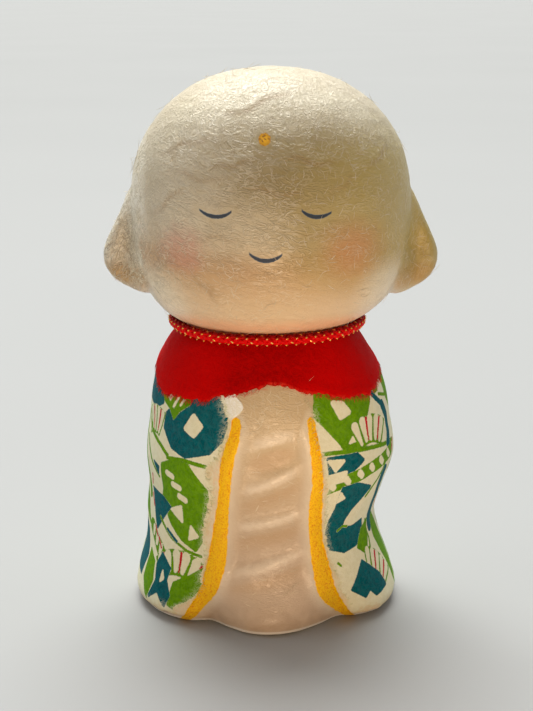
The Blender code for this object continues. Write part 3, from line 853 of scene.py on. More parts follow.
SEAM_STEM = (
    (0, -1), (8, 0.6), (17, -0.7), (26, 0.8), (35, -0.5), (46, 0.6),
)
STEM_HALF_WIDTH = 0.75
STENCIL_REACH = 33.0
BACK_STRIP = 56.0
STENCIL_HEIGHT = 47.5


def robe_print(u, z):
    """The three inks over the whole paper, and how far the print is from its bare margin."""
    front = Print(u, z, STENCIL_LEFT, STENCIL_RIGHT)
    beside_u = u - np.sign(u) * 2 * STENCIL_REACH
    beside = Print(beside_u, STENCIL_HEIGHT - z, STENCIL_LEFT, STENCIL_RIGHT)
    behind = Print(np.where(u < 0, u + 2 * math.pi * ARC_RADIUS, u), z, STENCIL_BACK)
    stem = np.abs(np.abs(u) - STENCIL_REACH - curve(SEAM_STEM, z)) - STEM_HALF_WIDTH
    inks = {}
    for name in Print.INKS:
        field = np.where(np.abs(u) < STENCIL_REACH, front.ink[name], beside.ink[name])
        field = np.where(np.abs(u) > BACK_STRIP, behind.ink[name], field)
        inks[name] = np.minimum(field, stem) if name == "green" else np.maximum(field, -stem)
    inside = np.where(u < 0, curve(PRINT_LEFT, z) - u, u - curve(PRINT_RIGHT, z))
    return inks, np.minimum(inside, z - PRINT_BOTTOM_Z) + layered(flat_points(u, z), PRINT_TORN)


# Pasted papers


def pasted_sheet(name, angle, z, lift, sink=0.3):
    """A sheet that follows the body over a grid, with its rim turned down into the paste."""
    rows, columns = angle.shape
    surface, normal = body_surface(angle, z)
    outer = (surface + normal * lift[..., None]).reshape(-1, 3)
    rim = (
        [(0, j) for j in range(columns)]
        + [(i, columns - 1) for i in range(1, rows)]
        + [(rows - 1, j) for j in range(columns - 2, -1, -1)]
        + [(i, 0) for i in range(rows - 2, 0, -1)]
    )
    low = np.array([surface[i, j] - normal[i, j] * sink for i, j in rim])
    at_rim = [i * columns + j for i, j in rim]
    faces = []
    for i, j in itertools.product(range(rows - 1), range(columns - 1)):
        a = i * columns + j
        faces.append((a, a + 1, a + columns + 1, a + columns))
    for n, a in enumerate(at_rim):
        m = (n + 1) % len(rim)
        faces.append((at_rim[m], a, rows * columns + n, rows * columns + m))
    mesh = mesh_from(name, np.concatenate([outer, low]), faces)
    u = arc_distance(angle)
    u, height = (np.concatenate([v.ravel(), v.ravel()[at_rim]]) for v in (u, z))
    return mesh, u, height


def robe_edge(line, side, z):
    """Angle of the robe paper's front edge on one side, under the gold, with a ragged cut."""
    middle, half_width = curve(line, z), curve(line, z, 2)
    x = np.abs(middle) + np.maximum(half_width - ROBE_UNDER_GOLD, 0.2)
    x = x + layered(flat_points(side * 7.0, z), ROBE_RAGGED)
    left, right = body_sizes(z)[:2]
    if side < 0:
        share = (x - curve(WHITE_TIP, z)) / left
    else:
        share = x / right
    return side * np.arcsin(np.clip(share, 0, 1) ** (SECTION_POWER / 2))


def make_robe():
    """The patterned paper, from the right front edge round the back to the left front edge."""
    columns, rows = ((500, 165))
    share, up = np.meshgrid(np.linspace(0, 1, columns), np.linspace(0, 1, rows))
    z = ROBE_BOTTOM_Z + (ROBE_FIRST_TOP_Z - ROBE_BOTTOM_Z) * up
    # The height follows the edges and the edges the height, so a few rounds settle both
    for _ in range(ROBE_ROUNDS):
        first, last = robe_edge(GOLD_RIGHT, 1, z), 2 * math.pi + robe_edge(GOLD_LEFT, -1, z)
        angle = first + (last - first) * share
        u = arc_distance(angle)
        top = curve(BIB_EDGE, u) + ROBE_TOP_UNDER_BIB
        bottom = ROBE_BOTTOM_Z + layered(flat_points(u), ROBE_HEM)
        z = bottom + (top - bottom) * up
    mesh, u, height = pasted_sheet("robe_paper_print", angle, z, np.full(angle.shape, ROBE_LIFT))
    inks, inside = robe_print(u, height)
    for name, field in inks.items():
        add_field(mesh, name, np.clip(field, -Print.FAR, Print.FAR))
    add_field(mesh, "inside_print", np.clip(inside, -2, 2))
    add_field(mesh, "gold_edge", gold_distance(get_points(mesh)))
    return link("robe_paper_print", mesh)


def make_bib():
    """The red paper round the shoulders, with a torn lower edge over the robe paper."""
    columns, rows = ((520, 60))
    across = np.linspace(-math.pi, math.pi + BIB_OVERLAP, columns)
    angle, up = np.meshgrid(across, np.linspace(0, 1, rows) ** 1.25)
    u = ARC_RADIUS * angle
    bottom = curve(BIB_EDGE, u) + layered(flat_points(u), BIB_TORN)
    z = bottom + (BIB_TOP_Z - bottom) * up
    above = z - bottom
    lift = BIB_LIFT - BIB_THINNER_ABOVE * smooth_step(1.0, 2.6, above)
    lift = lift - BIB_THINNER_AT_TEAR * (1 - smooth_step(0.0, 0.5, above))
    lift = lift + BIB_SEAM_RISE * smooth_step(math.pi - BIB_OVERLAP, math.pi, angle)
    mesh, u, height = pasted_sheet("bib_paper", angle, np.minimum(z, NECK_Z), lift, 0.2)
    add_field(mesh, "above_edge", np.clip(height - curve(BIB_EDGE, u), -1, 3))
    return link("bib_paper", mesh)


# Cord: a round braid. Its strands weave in and out round a middle ring

CORD_GAP = 0.3
CORD_BOW = 0.38
STRAND_TURNS = 16
STRAND_MIDDLE = 0.47
STRAND_WEAVE = 0.16
STRAND_RADIUS = 0.33
GOLD_THREAD_RADIUS = 0.125
GOLD_THREAD_PROUD = 0.04
GOLD_THREAD_DIVE = 1.15
GOLD_THREAD_DEEPEST = 0.3
BRAID_TURN = math.pi / 8


def cord_frame(turn):
    """Middle of the cord, and the directions away from the neck and upwards, at a turn."""
    width, depth = (half + CORD_GAP + CORD_RADIUS for half in (NECK_HALF_WIDTH, NECK_HALF_DEPTH))
    wave = 0.06 * np.sin(3 * turn + 0.7) + 0.05 * np.sin(5 * turn + 2.0) + CORD_BOW * np.sin(turn) ** 2
    x, y = NECK_CENTRE_X + width * np.sin(turn), -depth * np.cos(turn)
    middle = np.stack([x, y, CORD_Z + wave - 0.05], axis=-1)
    out = np.stack([np.sin(turn) / width, -np.cos(turn) / depth, 0 * turn], axis=-1)
    out /= np.linalg.norm(out, axis=-1, keepdims=True)
    return middle, out, np.array([0.0, 0.0, 1.0])


def make_cord():
    """A round braid of eight red strands. Gold thread shows where a strand is on top."""
    steps = STRAND_TURNS * 36
    s = 2 * math.pi * np.arange(steps) / steps
    middle, out, up = cord_frame(s)
    red, gold = Gathered(), Gathered()
    for way in (1, -1):
        weave = way * np.cos(4 * STRAND_TURNS * s)
        radial = STRAND_MIDDLE + STRAND_WEAVE * weave
        on_top = radial + STRAND_RADIUS + GOLD_THREAD_PROUD
        thread_radial = np.maximum(on_top - GOLD_THREAD_DIVE * (1 - weave), GOLD_THREAD_DEEPEST)
        for k in range(4):
            spin = way * STRAND_TURNS * s + k * math.pi / 2 + BRAID_TURN
            direction = np.cos(spin)[:, None] * out + np.sin(spin)[:, None] * up
            shade = (k * 2 + (way > 0)) / 8
            red.add(*tube(middle + direction * radial[:, None], STRAND_RADIUS, 7, True, direction), shade)
            if way > 0 or k % 2 == 0:
                thread = middle + direction * thread_radial[:, None]
                gold.add(*tube(thread, GOLD_THREAD_RADIUS, 5, True, direction), shade)
    return red.link("cord_red_strands"), gold.link("cord_gold_threads")


# Loose fibres


def taper(radius, count):
    along = 2 * np.linspace(-0.5, 0.5, count)
    return radius * np.sqrt(np.clip(1.06 - along**4, 0.06, 1))


def curl_over(tree, generator, start, length, steps, lift, proud):
    """A path that wanders over a surface, and rises off it towards its end when lifted."""
    place, normal, _, _ = tree.find_nearest(start)
    ahead = normal.cross(Vector(generator.normal(size=3))).normalized()
    step = length / (steps - 1)
    bend = generator.normal(0, 0.45)
    path = [place + normal * proud]
    for k in range(1, steps):
        bend = bend * 0.75 + generator.normal(0, 0.40)
        ahead = (ahead + normal.cross(ahead) * bend * step).normalized()
        place, normal, _, _ = tree.find_nearest(place + ahead * step)
        ahead = (ahead - normal * ahead.dot(normal)).normalized()
        path.append(place + normal * (proud + lift * (k / (steps - 1)) ** 2))
    return np.array(path), np.array(normal)


def from_paint(points):
    """Distance from the painted eyes, mouth and forehead dot."""
    x, y, z = points.T
    best = np.hypot(x - URNA[0], z - URNA[1]) - URNA[2]
    for (ax, az), (bx, bz), sag, half_width in BRUSH_STROKES:
        share = np.clip((x - ax) / (bx - ax), 0, 1)
        line_z = az + (bz - az) * share - sag * 4 * share * (1 - share)
        best = np.minimum(best, np.hypot(x - (ax + (bx - ax) * share), z - line_z) - half_width)
    return np.where(y < 0, best, 9.0)


def fibre_chance(points):
    """Where fibres show in the washi: most on the crown and ears, few on the chin and chest."""
    x, y, z = points.T
    front = smooth_step(6.0, 14.0, -y)
    crown = smooth_step(78.0, 90.0, z)
    low_face = front * (1 - smooth_step(58.0, 72.0, z)) * smooth_step(20.0, 12.0, np.abs(x))
    head = (0.55 + 0.45 * crown - 0.42 * low_face) * smooth_step(0.3, 1.2, from_paint(points))
    head = head + 2.2 * smooth_step(21.0, 22.5, -x) * (y < 3)
    panel = (np.abs(x) < 5.0) & (y < -10) & (z > 5) & (z < 43)
    return np.where(z > 52.5, head, np.where(panel, 0.16 + 1.1 * smooth_step(33.0, 41.0, z), 0.0))


# The left ear, from this X outwards, carries the coarsest fibres
LEFT_EAR_X = -21.5
RAISED_EVERY = 24
FIBRE_STEPS = 5


def make_fibres(figure):
    """Long paper fibres that lie curled on the washi skin, a few of them rising off it."""
    generator = np.random.default_rng(7)
    points = get_points(figure.data)
    polygons = [tuple(face.vertices) for face in figure.data.polygons]
    tree = BVHTree.FromPolygons([Vector(p) for p in points], polygons)
    chance = fibre_chance(points) * (points[:, 2] < HEIGHT - 0.1)
    starts = generator.choice(len(points), 5000, p=chance / chance.sum())
    gathered = Gathered()
    for n, index in enumerate(starts):
        raised = n % RAISED_EVERY == 0
        if raised:
            length, radius, lift = generator.uniform(2.0, 4.5), 0.026, generator.uniform(0.3, 1.1)
            proud, flat = 0.01, 1.0
        else:
            length, radius, lift = generator.uniform(0.6, 2.1), generator.uniform(0.022, 0.048), 0.0
            proud, flat = 0.0, 0.4
        if points[index, 0] < LEFT_EAR_X and not raised:
            length, radius = 1.3 * length, 1.5 * radius
        start = Vector(points[index])
        path, normal = curl_over(tree, generator, start, length, FIBRE_STEPS, lift, proud)
        form = tube(path, taper(radius, FIBRE_STEPS), 4, False, normal, flat)
        gathered.add(*form, generator.uniform())
    return gathered.link("washi_fibres", smooth=False)


def make_fringe(name, seed, u, z, along_u, along_z, lift, radius):
    """Short hairs at a torn edge: each starts at U, Z and runs over the body."""
    generator = np.random.default_rng(seed)
    t = np.linspace(0, 1, FIBRE_STEPS)
    curl = generator.normal(0, 0.22, len(u))[:, None] * t * t
    path_u = u[:, None] + along_u[:, None] * t - curl * np.sign(along_z)[:, None]
    path_z = z[:, None] + along_z[:, None] * t + curl
    surface, normal = body_surface(path_u / ARC_RADIUS, path_z)
    rise = lift + generator.uniform(0, 0.25, len(u))[:, None] * t
    gathered = Gathered()
    for path, facing in zip(surface + normal * rise[..., None], normal):
        form = tube(path, taper(radius, FIBRE_STEPS), 3, False, facing)
        gathered.add(*form, generator.uniform())
    return gathered.link(name)


def make_bib_fringe():
    generator = np.random.default_rng(11)
    count = 1300
    u = generator.uniform(-65.0, 65.0, count)
    z = curve(BIB_EDGE, u) + generator.uniform(-0.15, 0.35, count)
    along_u = generator.normal(0, 0.35, count)
    along_z = -generator.uniform(0.25, 0.85, count) * (0.35 + 0.65 * smooth_step(6.0, 11.0, np.abs(u)))
    return make_fringe("bib_torn_fringe", 12, u, z, along_u, along_z, 0.22, 0.032)


def make_robe_fringe():
    """Hairs of the patterned paper that lie over its front margins."""
    generator = np.random.default_rng(13)
    count = 460
    z = generator.uniform(3.5, 41.5, count)
    side = np.where(np.arange(count) % 2 == 0, -1.0, 1.0)
    edge = np.where(side < 0, curve(PRINT_LEFT, z), curve(PRINT_RIGHT, z))
    u = edge + side * generator.uniform(-0.3, 0.6, count)
    along_u = -side * generator.uniform(0.25, 0.8, count)
    along_z = generator.normal(-0.1, 0.3, count)
    return make_fringe("robe_torn_fringe", 14, u, z, along_u, along_z, 0.13, 0.028)


# Materials


class Wire:
    """A value in a node tree. Its arithmetic adds the nodes that work it out."""

    def __init__(self, nodes, socket):
        self.nodes, self.socket = nodes, socket

    def __add__(self, other):
        return self.nodes.math("ADD", self, other)

    def __sub__(self, other):
        return self.nodes.math("SUBTRACT", self, other)

    def __mul__(self, other):
        return self.nodes.math("MULTIPLY", self, other)

    def __truediv__(self, other):
        return self.nodes.math("DIVIDE", self, other)

    def __abs__(self):
        return self.nodes.math("ABSOLUTE", self)

    def most(self, other):
        return self.nodes.math("MAXIMUM", self, other)

    def ramp(self, low, high, to_low=0.0, to_high=1.0):
        """A smooth step from one value to another, flat beyond its two ends."""
        values = dict(enumerate((self, low, high, to_low, to_high)))
        return self.nodes.add("ShaderNodeMapRange", values, interpolation_type="SMOOTHSTEP")


class Nodes:
    """Short ways to build a node tree."""

    def __init__(self, tree):
        self.tree = tree

    def add(self, kind, values=None, output=0, **settings):
        """Adds a node with some settings and some values of its inputs, and gives one output."""
        node = self.tree.nodes.new(kind)
        for key, value in settings.items():
            setattr(node, key, value)
        for key, value in (values or {}).items():
            self.link(value, node.inputs[key])
        return Wire(self, node.outputs[output])

    def link(self, value, socket):
        if isinstance(value, Wire):
            self.tree.links.new(value.socket, socket)
        else:
            socket.default_value = value

    def math(self, operation, *values):
        return self.add("ShaderNodeMath", dict(enumerate(values)), operation=operation)

    def vector(self, operation, *values, output=0):
        kind = "ShaderNodeVectorMath"
        return self.add(kind, dict(enumerate(values)), output, operation=operation)

    def mix(self, share, a, b):
        a, b = ((*tone, 1.0) if isinstance(tone, tuple) else tone for tone in (a, b))
        return self.add("ShaderNodeMix", {0: share, 6: a, 7: b}, 2, data_type="RGBA")

    def paint(self, base, *coats):
        """A base colour under coats, each given as its share and its colour."""
        for share, tone in coats:
            base = self.mix(share, base, tone)
        return base

    def place(self):
        """Object coordinates in millimetres."""
        values = {0: self.add("ShaderNodeTexCoord", output="Object"), "Scale": 1 / MM}
        return self.add("ShaderNodeVectorMath", values, operation="SCALE")

    def split(self, place):
        node = self.tree.nodes.new("ShaderNodeSeparateXYZ")
        self.link(place, node.inputs[0])
        return [Wire(self, socket) for socket in node.outputs]

    def field(self, name):
        return self.add("ShaderNodeAttribute", output="Fac", attribute_name=name)

    def noise(self, place, scale, detail=2.0, rough=0.5, distortion=0.0, output="Fac"):
        values = {"Vector": place, "Scale": scale, "Detail": detail, "Roughness": rough}
        return self.add("ShaderNodeTexNoise", {**values, "Distortion": distortion}, output)

    def signed_noise(self, place, scale, detail, amount, rough=0.5):
        return self.noise(place, scale, detail, rough) * amount - amount / 2

    def turn(self, place, rotation, scale):
        values = {"Vector": place, "Rotation": rotation, "Scale": scale}
        return self.add("ShaderNodeMapping", values, vector_type="TEXTURE")


class Surface(Nodes):
    """The node tree of one material."""

    def __init__(self, name):
        self.material = bpy.data.materials.new(name)
        self.material.use_nodes = True
        super().__init__(self.material.node_tree)

    def finish(self, base, roughness, height, distance, strength, **more):
        """The material with a bump. What is the same all over is set on the shader itself."""
        values = {"Height": height, "Distance": distance * MM, "Strength": strength}
        normal = self.add("ShaderNodeBump", values)
        shader = self.tree.nodes["Principled BSDF"]
        inputs = {"Base_Color": base, "Roughness": roughness, "Normal": normal, **more}
        for key, value in inputs.items():
            self.link(value, shader.inputs[key.replace("_", " ")])
        return self.material


FIBRE_WAYS = (
    (0, 0.15, 0.1), (0.2, 1.05, 0), (0, -1.05, 0.2), (0.5, 0.55, 1.5), (0, -0.5, 0.75),
    (0.3, 1.55, 0.4),
)
FIBRE_LENGTH = 5.5
FIBRE_SWAY = 3.6
FIBRE_WIDTHS = (1.0, 1.35, 0.8)
FIBRE_EDGE = 0.085
GOLD_METAL = 0.35
GOLD_RELIEF = 1.2


def fibre_net(nodes, place, wide, ways=FIBRE_WAYS[:3]):
    """Crossing curly fibres: ridges of noise stretched along several directions."""
    sway = nodes.noise(place, 0.42, 1.0, output="Color")
    sway = nodes.vector("SUBTRACT", sway, (0.5, 0.5, 0.5))
    moved = nodes.vector("MULTIPLY_ADD", sway, (FIBRE_SWAY,) * 3, place)
    ridges = []
    for way, width in zip(ways, itertools.cycle(FIBRE_WIDTHS)):
        thick = wide * width
        local = nodes.turn(moved, way, (FIBRE_LENGTH * wide, thick, thick))
        ridges.append(abs(nodes.noise(local, 1.0, 0.0) - 0.5).ramp(0.0, FIBRE_EDGE, 1.0, 0.0))
    return reduce(Wire.most, ridges)


def gold_paint(nodes, place, base):
    """Grainy gold paint over a ground, where the gold_edge field is negative."""
    edge = nodes.field("gold_edge") + nodes.signed_noise(place, 1.1, 3.0, 0.55)
    mask = edge.ramp(-0.12, 0.12, 1.0, 0.0)
    grain = nodes.noise(place, 3.6, 3.0, 0.7)
    streaks = nodes.noise(nodes.turn(place, (0.0, 0.15, 0.0), (0.5, 0.5, 3.0)), 1.0)
    specks = nodes.noise(place, 8.0, 1.0)
    tone = nodes.paint(
        nodes.mix(grain.ramp(0.38, 0.54), (0.86, 0.33, 0.0), (1.0, 0.62, 0.0)),
        (streaks.ramp(0.42, 0.60, 0.0, 0.5), (1.0, 0.66, 0.0)),
        (specks.ramp(0.38, 0.30, 0.0, 0.4), (0.50, 0.17, 0.0)),
    )
    return nodes.mix(mask, base, tone), mask, grain


class Face:
    """The front of the head as the face's paint sees it: X and Z, and the distance to a place."""

    def __init__(self, nodes, place):
        self.nodes = nodes
        self.x, self.y, self.z = nodes.split(place)
        self.front = self.y.ramp(-9.0, -7.0, 1.0, 0.0) * self.z.ramp(50.0, 52.0)

    def distance(self, x, z):
        off_x, off_z = self.x - x, self.z - z
        return self.nodes.math("SQRT", off_x * off_x + off_z * off_z)

    def spot(self, x, z, far, near, share):
        return self.distance(x, z).ramp(far, near, 0.0, share) * self.front


def face_tones(nodes, place, face, base):
    """Painted light and shade on the face: warm painted bounce light below, painted shade on the brow, a
    painted highlight on the crown, pale painted light patches, and the blush.
    """
    x, y, z, front = face.x, face.y, face.z, face.front
    soft = nodes.noise(place, 0.35, 3.0)
    shade = (face.distance(4.0, 77.0) + soft * 8.0).ramp(22.0, 6.0, 0.0, 0.70)
    # Warm painted light on the right side of the head
    warm_light_on_right_side = x.ramp(-4.0, 18.0, 0.0, 0.85) * z.ramp(90.0, 80.0) * z.ramp(57.0, 66.0) * y.ramp(10.0, 0.0)

    def blush(place_and_size, inner, share):
        x, z, size = place_and_size
        return (face.distance(x, z) + soft * 2.4).ramp(size + 2.4, inner, 0.0, share) * front

    # Warm painted bounce light on the lower face, pale painted light on the chin, a darker brown band
    # under the mouth, warm painted bounce light under the chin, and a painted highlight on the crown
    low_face = z.ramp(73.0, 62.0, 0.0, 0.72) * front
    chin = z.ramp(62.5, 55.5, 0.0, 0.46) * front
    under_mouth = z.ramp(67.5, 66.0, 0.0, 0.36) * z.ramp(61.5, 64.0) * front
    bounce_light_under_chin = z.ramp(55.8, 52.8, 0.0, 0.50) * front
    crown = z.ramp(84.0, 90.0, 0.0, 0.35) * z.ramp(93.0, 90.5) * front
    return nodes.paint(
        base,
        (low_face, (0.64, 0.38, 0.155)),
        (chin, (0.86, 0.71, 0.47)),
        (under_mouth, (0.48, 0.24, 0.08)),
        (bounce_light_under_chin, (1.0, 0.47, 0.24)),
        (crown, (0.98, 0.89, 0.68)),
        # Pale painted light on the left cheek, then painted shade over the brow
        (face.spot(-9.5, 71.5, 10.0, 2.0, 0.30), (0.88, 0.76, 0.55)),
        (shade * front, (0.345, 0.235, 0.055)),
        # Pale painted light on the nose, warm painted light on the right side, and pale painted light on
        # both jaws
        (face.spot(-1.5, 70.5, 8.0, 2.0, 0.42), (0.84, 0.72, 0.50)),
        (warm_light_on_right_side, (0.54, 0.40, 0.10)),
        (face.spot(20.5, 58.5, 8.0, 2.0, 0.66), (0.92, 0.83, 0.62)),
        (face.spot(-19.5, 57.0, 8.0, 2.0, 0.66), (0.92, 0.83, 0.62)),
        (blush(BLUSH_LEFT, 2.6, 0.50), (0.68, 0.27, 0.19)),
        (blush(BLUSH_RIGHT, 1.8, 0.62), (0.66, 0.26, 0.10)),
    )


# Ink of the brush strokes and its bluer rim, and the tones of the gold dot
INK, INK_RIM = (0.004, 0.026, 0.062), (0.02, 0.11, 0.22)
DOT_STREAK, DOT_GOLD, DOT_RIM = (0.38, 0.13, 0.0), (0.97, 0.50, 0.0), (0.60, 0.25, 0.0)


def face_marks(nodes, place, face, base):
    """Eyes, mouth and the dot on the forehead, and a mask of all that is painted."""
    wobble = nodes.signed_noise(place, 2.6, 2.0, 0.18)
    masks = []
    for (ax, az), (bx, bz), sag, half_width in BRUSH_STROKES:
        half_span = math.hypot(bx - ax, bz - az) / 2
        radius = (half_span**2 + sag**2) / (2 * sag)
        cos, sin = (bx - ax) / (2 * half_span), (bz - az) / (2 * half_span)
        mx, mz = (ax + bx) / 2, (az + bz) / 2
        cx, cz = mx - sin * (radius - sag), mz + cos * (radius - sag)
        along = (face.x - mx) * (cos / half_span) + (face.z - mz) * (sin / half_span)
        share = along * along
        width = share * (-half_width * 0.6) + half_width
        edge = abs(face.distance(cx, cz) - radius) - width + wobble
        lower = nodes.math("LESS_THAN", face.z, cz) * face.front
        mask = edge.ramp(-0.07, 0.09, 1.0, 0.0) * share.ramp(0.90, 1.08, 1.0, 0.0) * lower
        base = nodes.mix(mask * 0.94, base, nodes.mix(edge.ramp(-0.16, 0.05), INK, INK_RIM))
        masks.append(mask)
    edge = face.distance(*URNA[:2]) - URNA[2] + wobble * 2.0
    dot = edge.ramp(-0.08, 0.08, 1.0, 0.0) * face.front
    grain = nodes.noise(nodes.turn(place, (0.0, 0.3, 0.0), (0.55, 0.55, 0.28)), 1.0)
    tone = nodes.mix(grain.ramp(0.34, 0.50), DOT_STREAK, DOT_GOLD)
    tone = nodes.mix(edge.ramp(-0.60, -0.12, 0.0, 0.6), tone, DOT_RIM)
    return nodes.mix(dot, base, tone), reduce(Wire.most, masks, dot)


def ear_shade(nodes, place, base):
    """Painted light and shade on the ears: pale painted light on the left ear's front, warm painted light
    on the right ear's front, brown painted shade in each hollow and orange brown painted shade under each
    lobe.
    """
    x, y, z = nodes.split(place)
    beside = abs(x - HEAD_CENTRE_X)
    off_x = (beside - (EAR_HOLLOW_CENTRE[0] - 1.1)) / 1.9
    off_z = (z - (EAR_HOLLOW_CENTRE[1] + 1.8)) / 5.2
    front = y.ramp(1.5, 0.0)
    patchy = nodes.noise(place, 1.3, 3.0).ramp(0.42, 0.56, 0.20, 0.75)
    # Masks of the painted shade in each ear's hollow and under its lobe
    hollow = (off_x * off_x + off_z * off_z).ramp(1.3, 0.2) * y.ramp(1.0, -1.0) * patchy
    lobe = z.ramp(62.6, 60.4) * z.ramp(56.8, 59.0, 0.35, 1.0) * beside.ramp(19.5, 22.5, 0.0, 0.78)
    return nodes.paint(
        base,
        # Pale painted light on the left ear's front, warm painted light on the right ear's front
        (x.ramp(-20.0, -22.5) * z.ramp(58.0, 61.0) * front, (1.0, 0.92, 0.76)),
        (x.ramp(21.0, 23.5, 0.0, 0.5) * front, (0.52, 0.36, 0.05)),
        (hollow, (0.36, 0.25, 0.12)),
        (lobe, (0.50, 0.275, 0.06)),
    )


# Fine creases, each as its turn and its stretch, and how far under one its painted shade line lies
CREASES_ACROSS = ((0.2, 0.25, 0.0), (2.5, 2.4, 0.95))
CREASES_UPRIGHT = ((0.3, 0.5, 0.0), (0.95, 1.2, 2.2))
CREASE_SHADE_LINE_DROP = 0.22


def creases(nodes, place):
    """Fine creases of pasted paper, across the face and upright at its sides and on the crown.

    Gives their height, a thin painted highlight on top of each and a painted shade line under it.
    """
    x, _, z = nodes.split(place)
    upright = abs(x).ramp(16.0, 21.0).most(z.ramp(83.0, 90.0))
    level = nodes.math("SUBTRACT", 1.0, upright)

    def away(at):
        parts = []
        for form, share in ((CREASES_ACROSS, level), (CREASES_UPRIGHT, upright)):
            value = nodes.noise(nodes.turn(at, *form), 1.0, 2.0, 0.6, 1.2)
            parts.append(abs(value - 0.5) / (share + 0.02))
        return nodes.math("MINIMUM", *parts)

    off = away(place)
    off_above = away(nodes.vector("ADD", place, (0.0, 0.0, CREASE_SHADE_LINE_DROP)))
    patches = nodes.noise(place, 0.22).ramp(0.38, 0.58, 0.30, 1.0)
    # A painted highlight on each crease and a painted shade line under it
    light = off.ramp(0.0, 0.045, 1.0, 0.0) * patches
    dark = off_above.ramp(0.0, 0.050, 1.0, 0.0) * patches
    return off.ramp(0.0, 0.10, 1.0, 0.0), light, dark


def washi_material():
    nodes = Surface("washi")
    place = nodes.place()
    z = nodes.split(place)[2]
    pulp = nodes.noise(place, 1.5, 4.0, 0.6)
    broad = nodes.noise(place, 0.12, 3.0)
    hem_shade_patches = nodes.noise(place, 0.22).ramp(0.34, 0.54, 0.25, 1.0)
    fibres = fibre_net(nodes, place, 0.5, FIBRE_WAYS) * nodes.field("fibre_share")
    clear = nodes.field("crease_share")
    crease, crease_highlight, crease_shade_line = (part * clear for part in creases(nodes, place))
    fold = nodes.field("fold")
    uneven = fold + nodes.signed_noise(place, 0.9, 3.0, 0.7)
    panel = nodes.mix(z.ramp(6.0, 40.0), (0.60, 0.455, 0.335), (0.62, 0.47, 0.27))
    base = nodes.paint(
        nodes.mix(broad.ramp(0.35, 0.65), (0.612, 0.505, 0.325), (0.672, 0.565, 0.390)),
        (pulp.ramp(0.45, 0.75, 0.0, 0.22), (0.79, 0.71, 0.56)),
        (fibres * 0.24, (0.92, 0.86, 0.74)),
        (z.ramp(49.0, 45.0, 0.0, 0.82), panel),
        # Patchy painted shade low down at the hem
        (z.ramp(7.5, 2.5, 0.0, 0.46) * hem_shade_patches, (0.38, 0.26, 0.165)),
        # Painted shade in the fold hollows, then a painted highlight on their crests
        (fold.ramp(0.05, -1.0, 0.0, 0.60), (0.56, 0.37, 0.20)),
        (uneven.ramp(0.10, 1.10, 0.0, 0.50), (0.98, 0.88, 0.72)),
        # Painted light beside the gold strips, where the lapels slope
        (nodes.field("gold_edge").ramp(2.4, 0.2, 0.0, 0.40), (0.88, 0.80, 0.64)),
        # Painted light along the bottom edge of the hem
        (z.ramp(1.3, 0.8), (1.0, 0.97, 0.90)),
        (z.ramp(52.5, 51.8) * z.ramp(46.0, 47.0), (0.62, 0.01, 0.0)),
    )
    face = Face(nodes, place)
    base = face_tones(nodes, place, face, ear_shade(nodes, place, base))
    base = nodes.paint(
        base,
        # Painted shade under the long creases
        (nodes.field("crease_shade_below") * 0.48, (0.38, 0.21, 0.07)),
        # Along the fine creases, a painted shade line under each and a painted highlight on top
        (crease_shade_line * 0.36, (0.28, 0.185, 0.07)),
        (crease_highlight * 0.50, (0.94, 0.85, 0.66)),
    )
    base, painted = face_marks(nodes, place, face, base)
    base, gold, grain = gold_paint(nodes, place, base)
    height = fibres * 0.35 + pulp * 0.7 + crease * 1.9 + gold * grain * GOLD_RELIEF
    roughness = pulp.ramp(0.25, 0.75, 0.27, 0.40) + painted.most(gold) * 0.35
    sheen = {"Sheen_Weight": 0.06, "Sheen_Roughness": 0.35, "Specular_IOR_Level": 0.5}
    return nodes.finish(base, roughness, height, 0.065, 0.8, Metallic=gold * GOLD_METAL, **sheen)


# Inks of the print, in the order they are laid, dark and light
PRINT_INKS = {
    "green": ((0.098, 0.265, 0.0), (0.155, 0.360, 0.0)),
    "teal": ((0.0, 0.085, 0.110), (0.0, 0.135, 0.166)),
    "red": ((0.45, 0.0, 0.008), (0.62, 0.002, 0.016)),
}


def robe_material():
    nodes = Surface("patterned_washi")
    place = nodes.place()
    z = nodes.split(place)[2]
    fibres = fibre_net(nodes, place, 0.6)
    pulp = nodes.noise(place, 1.3, 4.0, 0.6)
    across = nodes.turn(place, (0.0, 0.0, 0.0), (1.3, 1.3, 0.22))
    within = nodes.field("inside_print") + nodes.signed_noise(across, 1.0, 2.0, 1.25)
    base = nodes.paint(
        nodes.mix(pulp.ramp(0.3, 0.7), (0.90, 0.84, 0.67), (0.98, 0.93, 0.79)),
        (within.ramp(0.4, -0.6, 0.0, 0.68) * z.ramp(40.0, 37.0), (0.76, 0.53, 0.27)),
        (z.ramp(37.8, 38.8) * within.ramp(0.2, -0.4), (0.96, 0.98, 0.94)),
        (within.ramp(-1.5, 0.1, 0.0, 0.30), (0.55, 0.60, 0.22)),
    )
    printed = within.ramp(-0.08, 0.08)
    ragged = nodes.signed_noise(place, 4.0, 2.0, 0.30, 0.6)
    masks = []
    for name, (dark, light) in PRINT_INKS.items():
        masks.append((nodes.field(name) + ragged).ramp(-0.07, 0.07, 1.0, 0.0) * printed)
        base = nodes.mix(masks[-1], base, nodes.mix(pulp.ramp(0.3, 0.7), dark, light))
    base = nodes.mix(fibres * within.ramp(1.6, -0.2, 0.02, 0.5), base, (0.80, 0.78, 0.60))
    base, gold, grain = gold_paint(nodes, place, base)
    height = fibres * 0.5 + pulp * 1.2 + reduce(Wire.most, masks) * 0.25 + gold * grain * GOLD_RELIEF
    roughness = pulp.ramp(0.25, 0.75, 0.50, 0.64)
    fixed = {"Metallic": gold * GOLD_METAL, "Specular_IOR_Level": 0.03}
    return nodes.finish(base, roughness, height, 0.06, 0.8, **fixed)


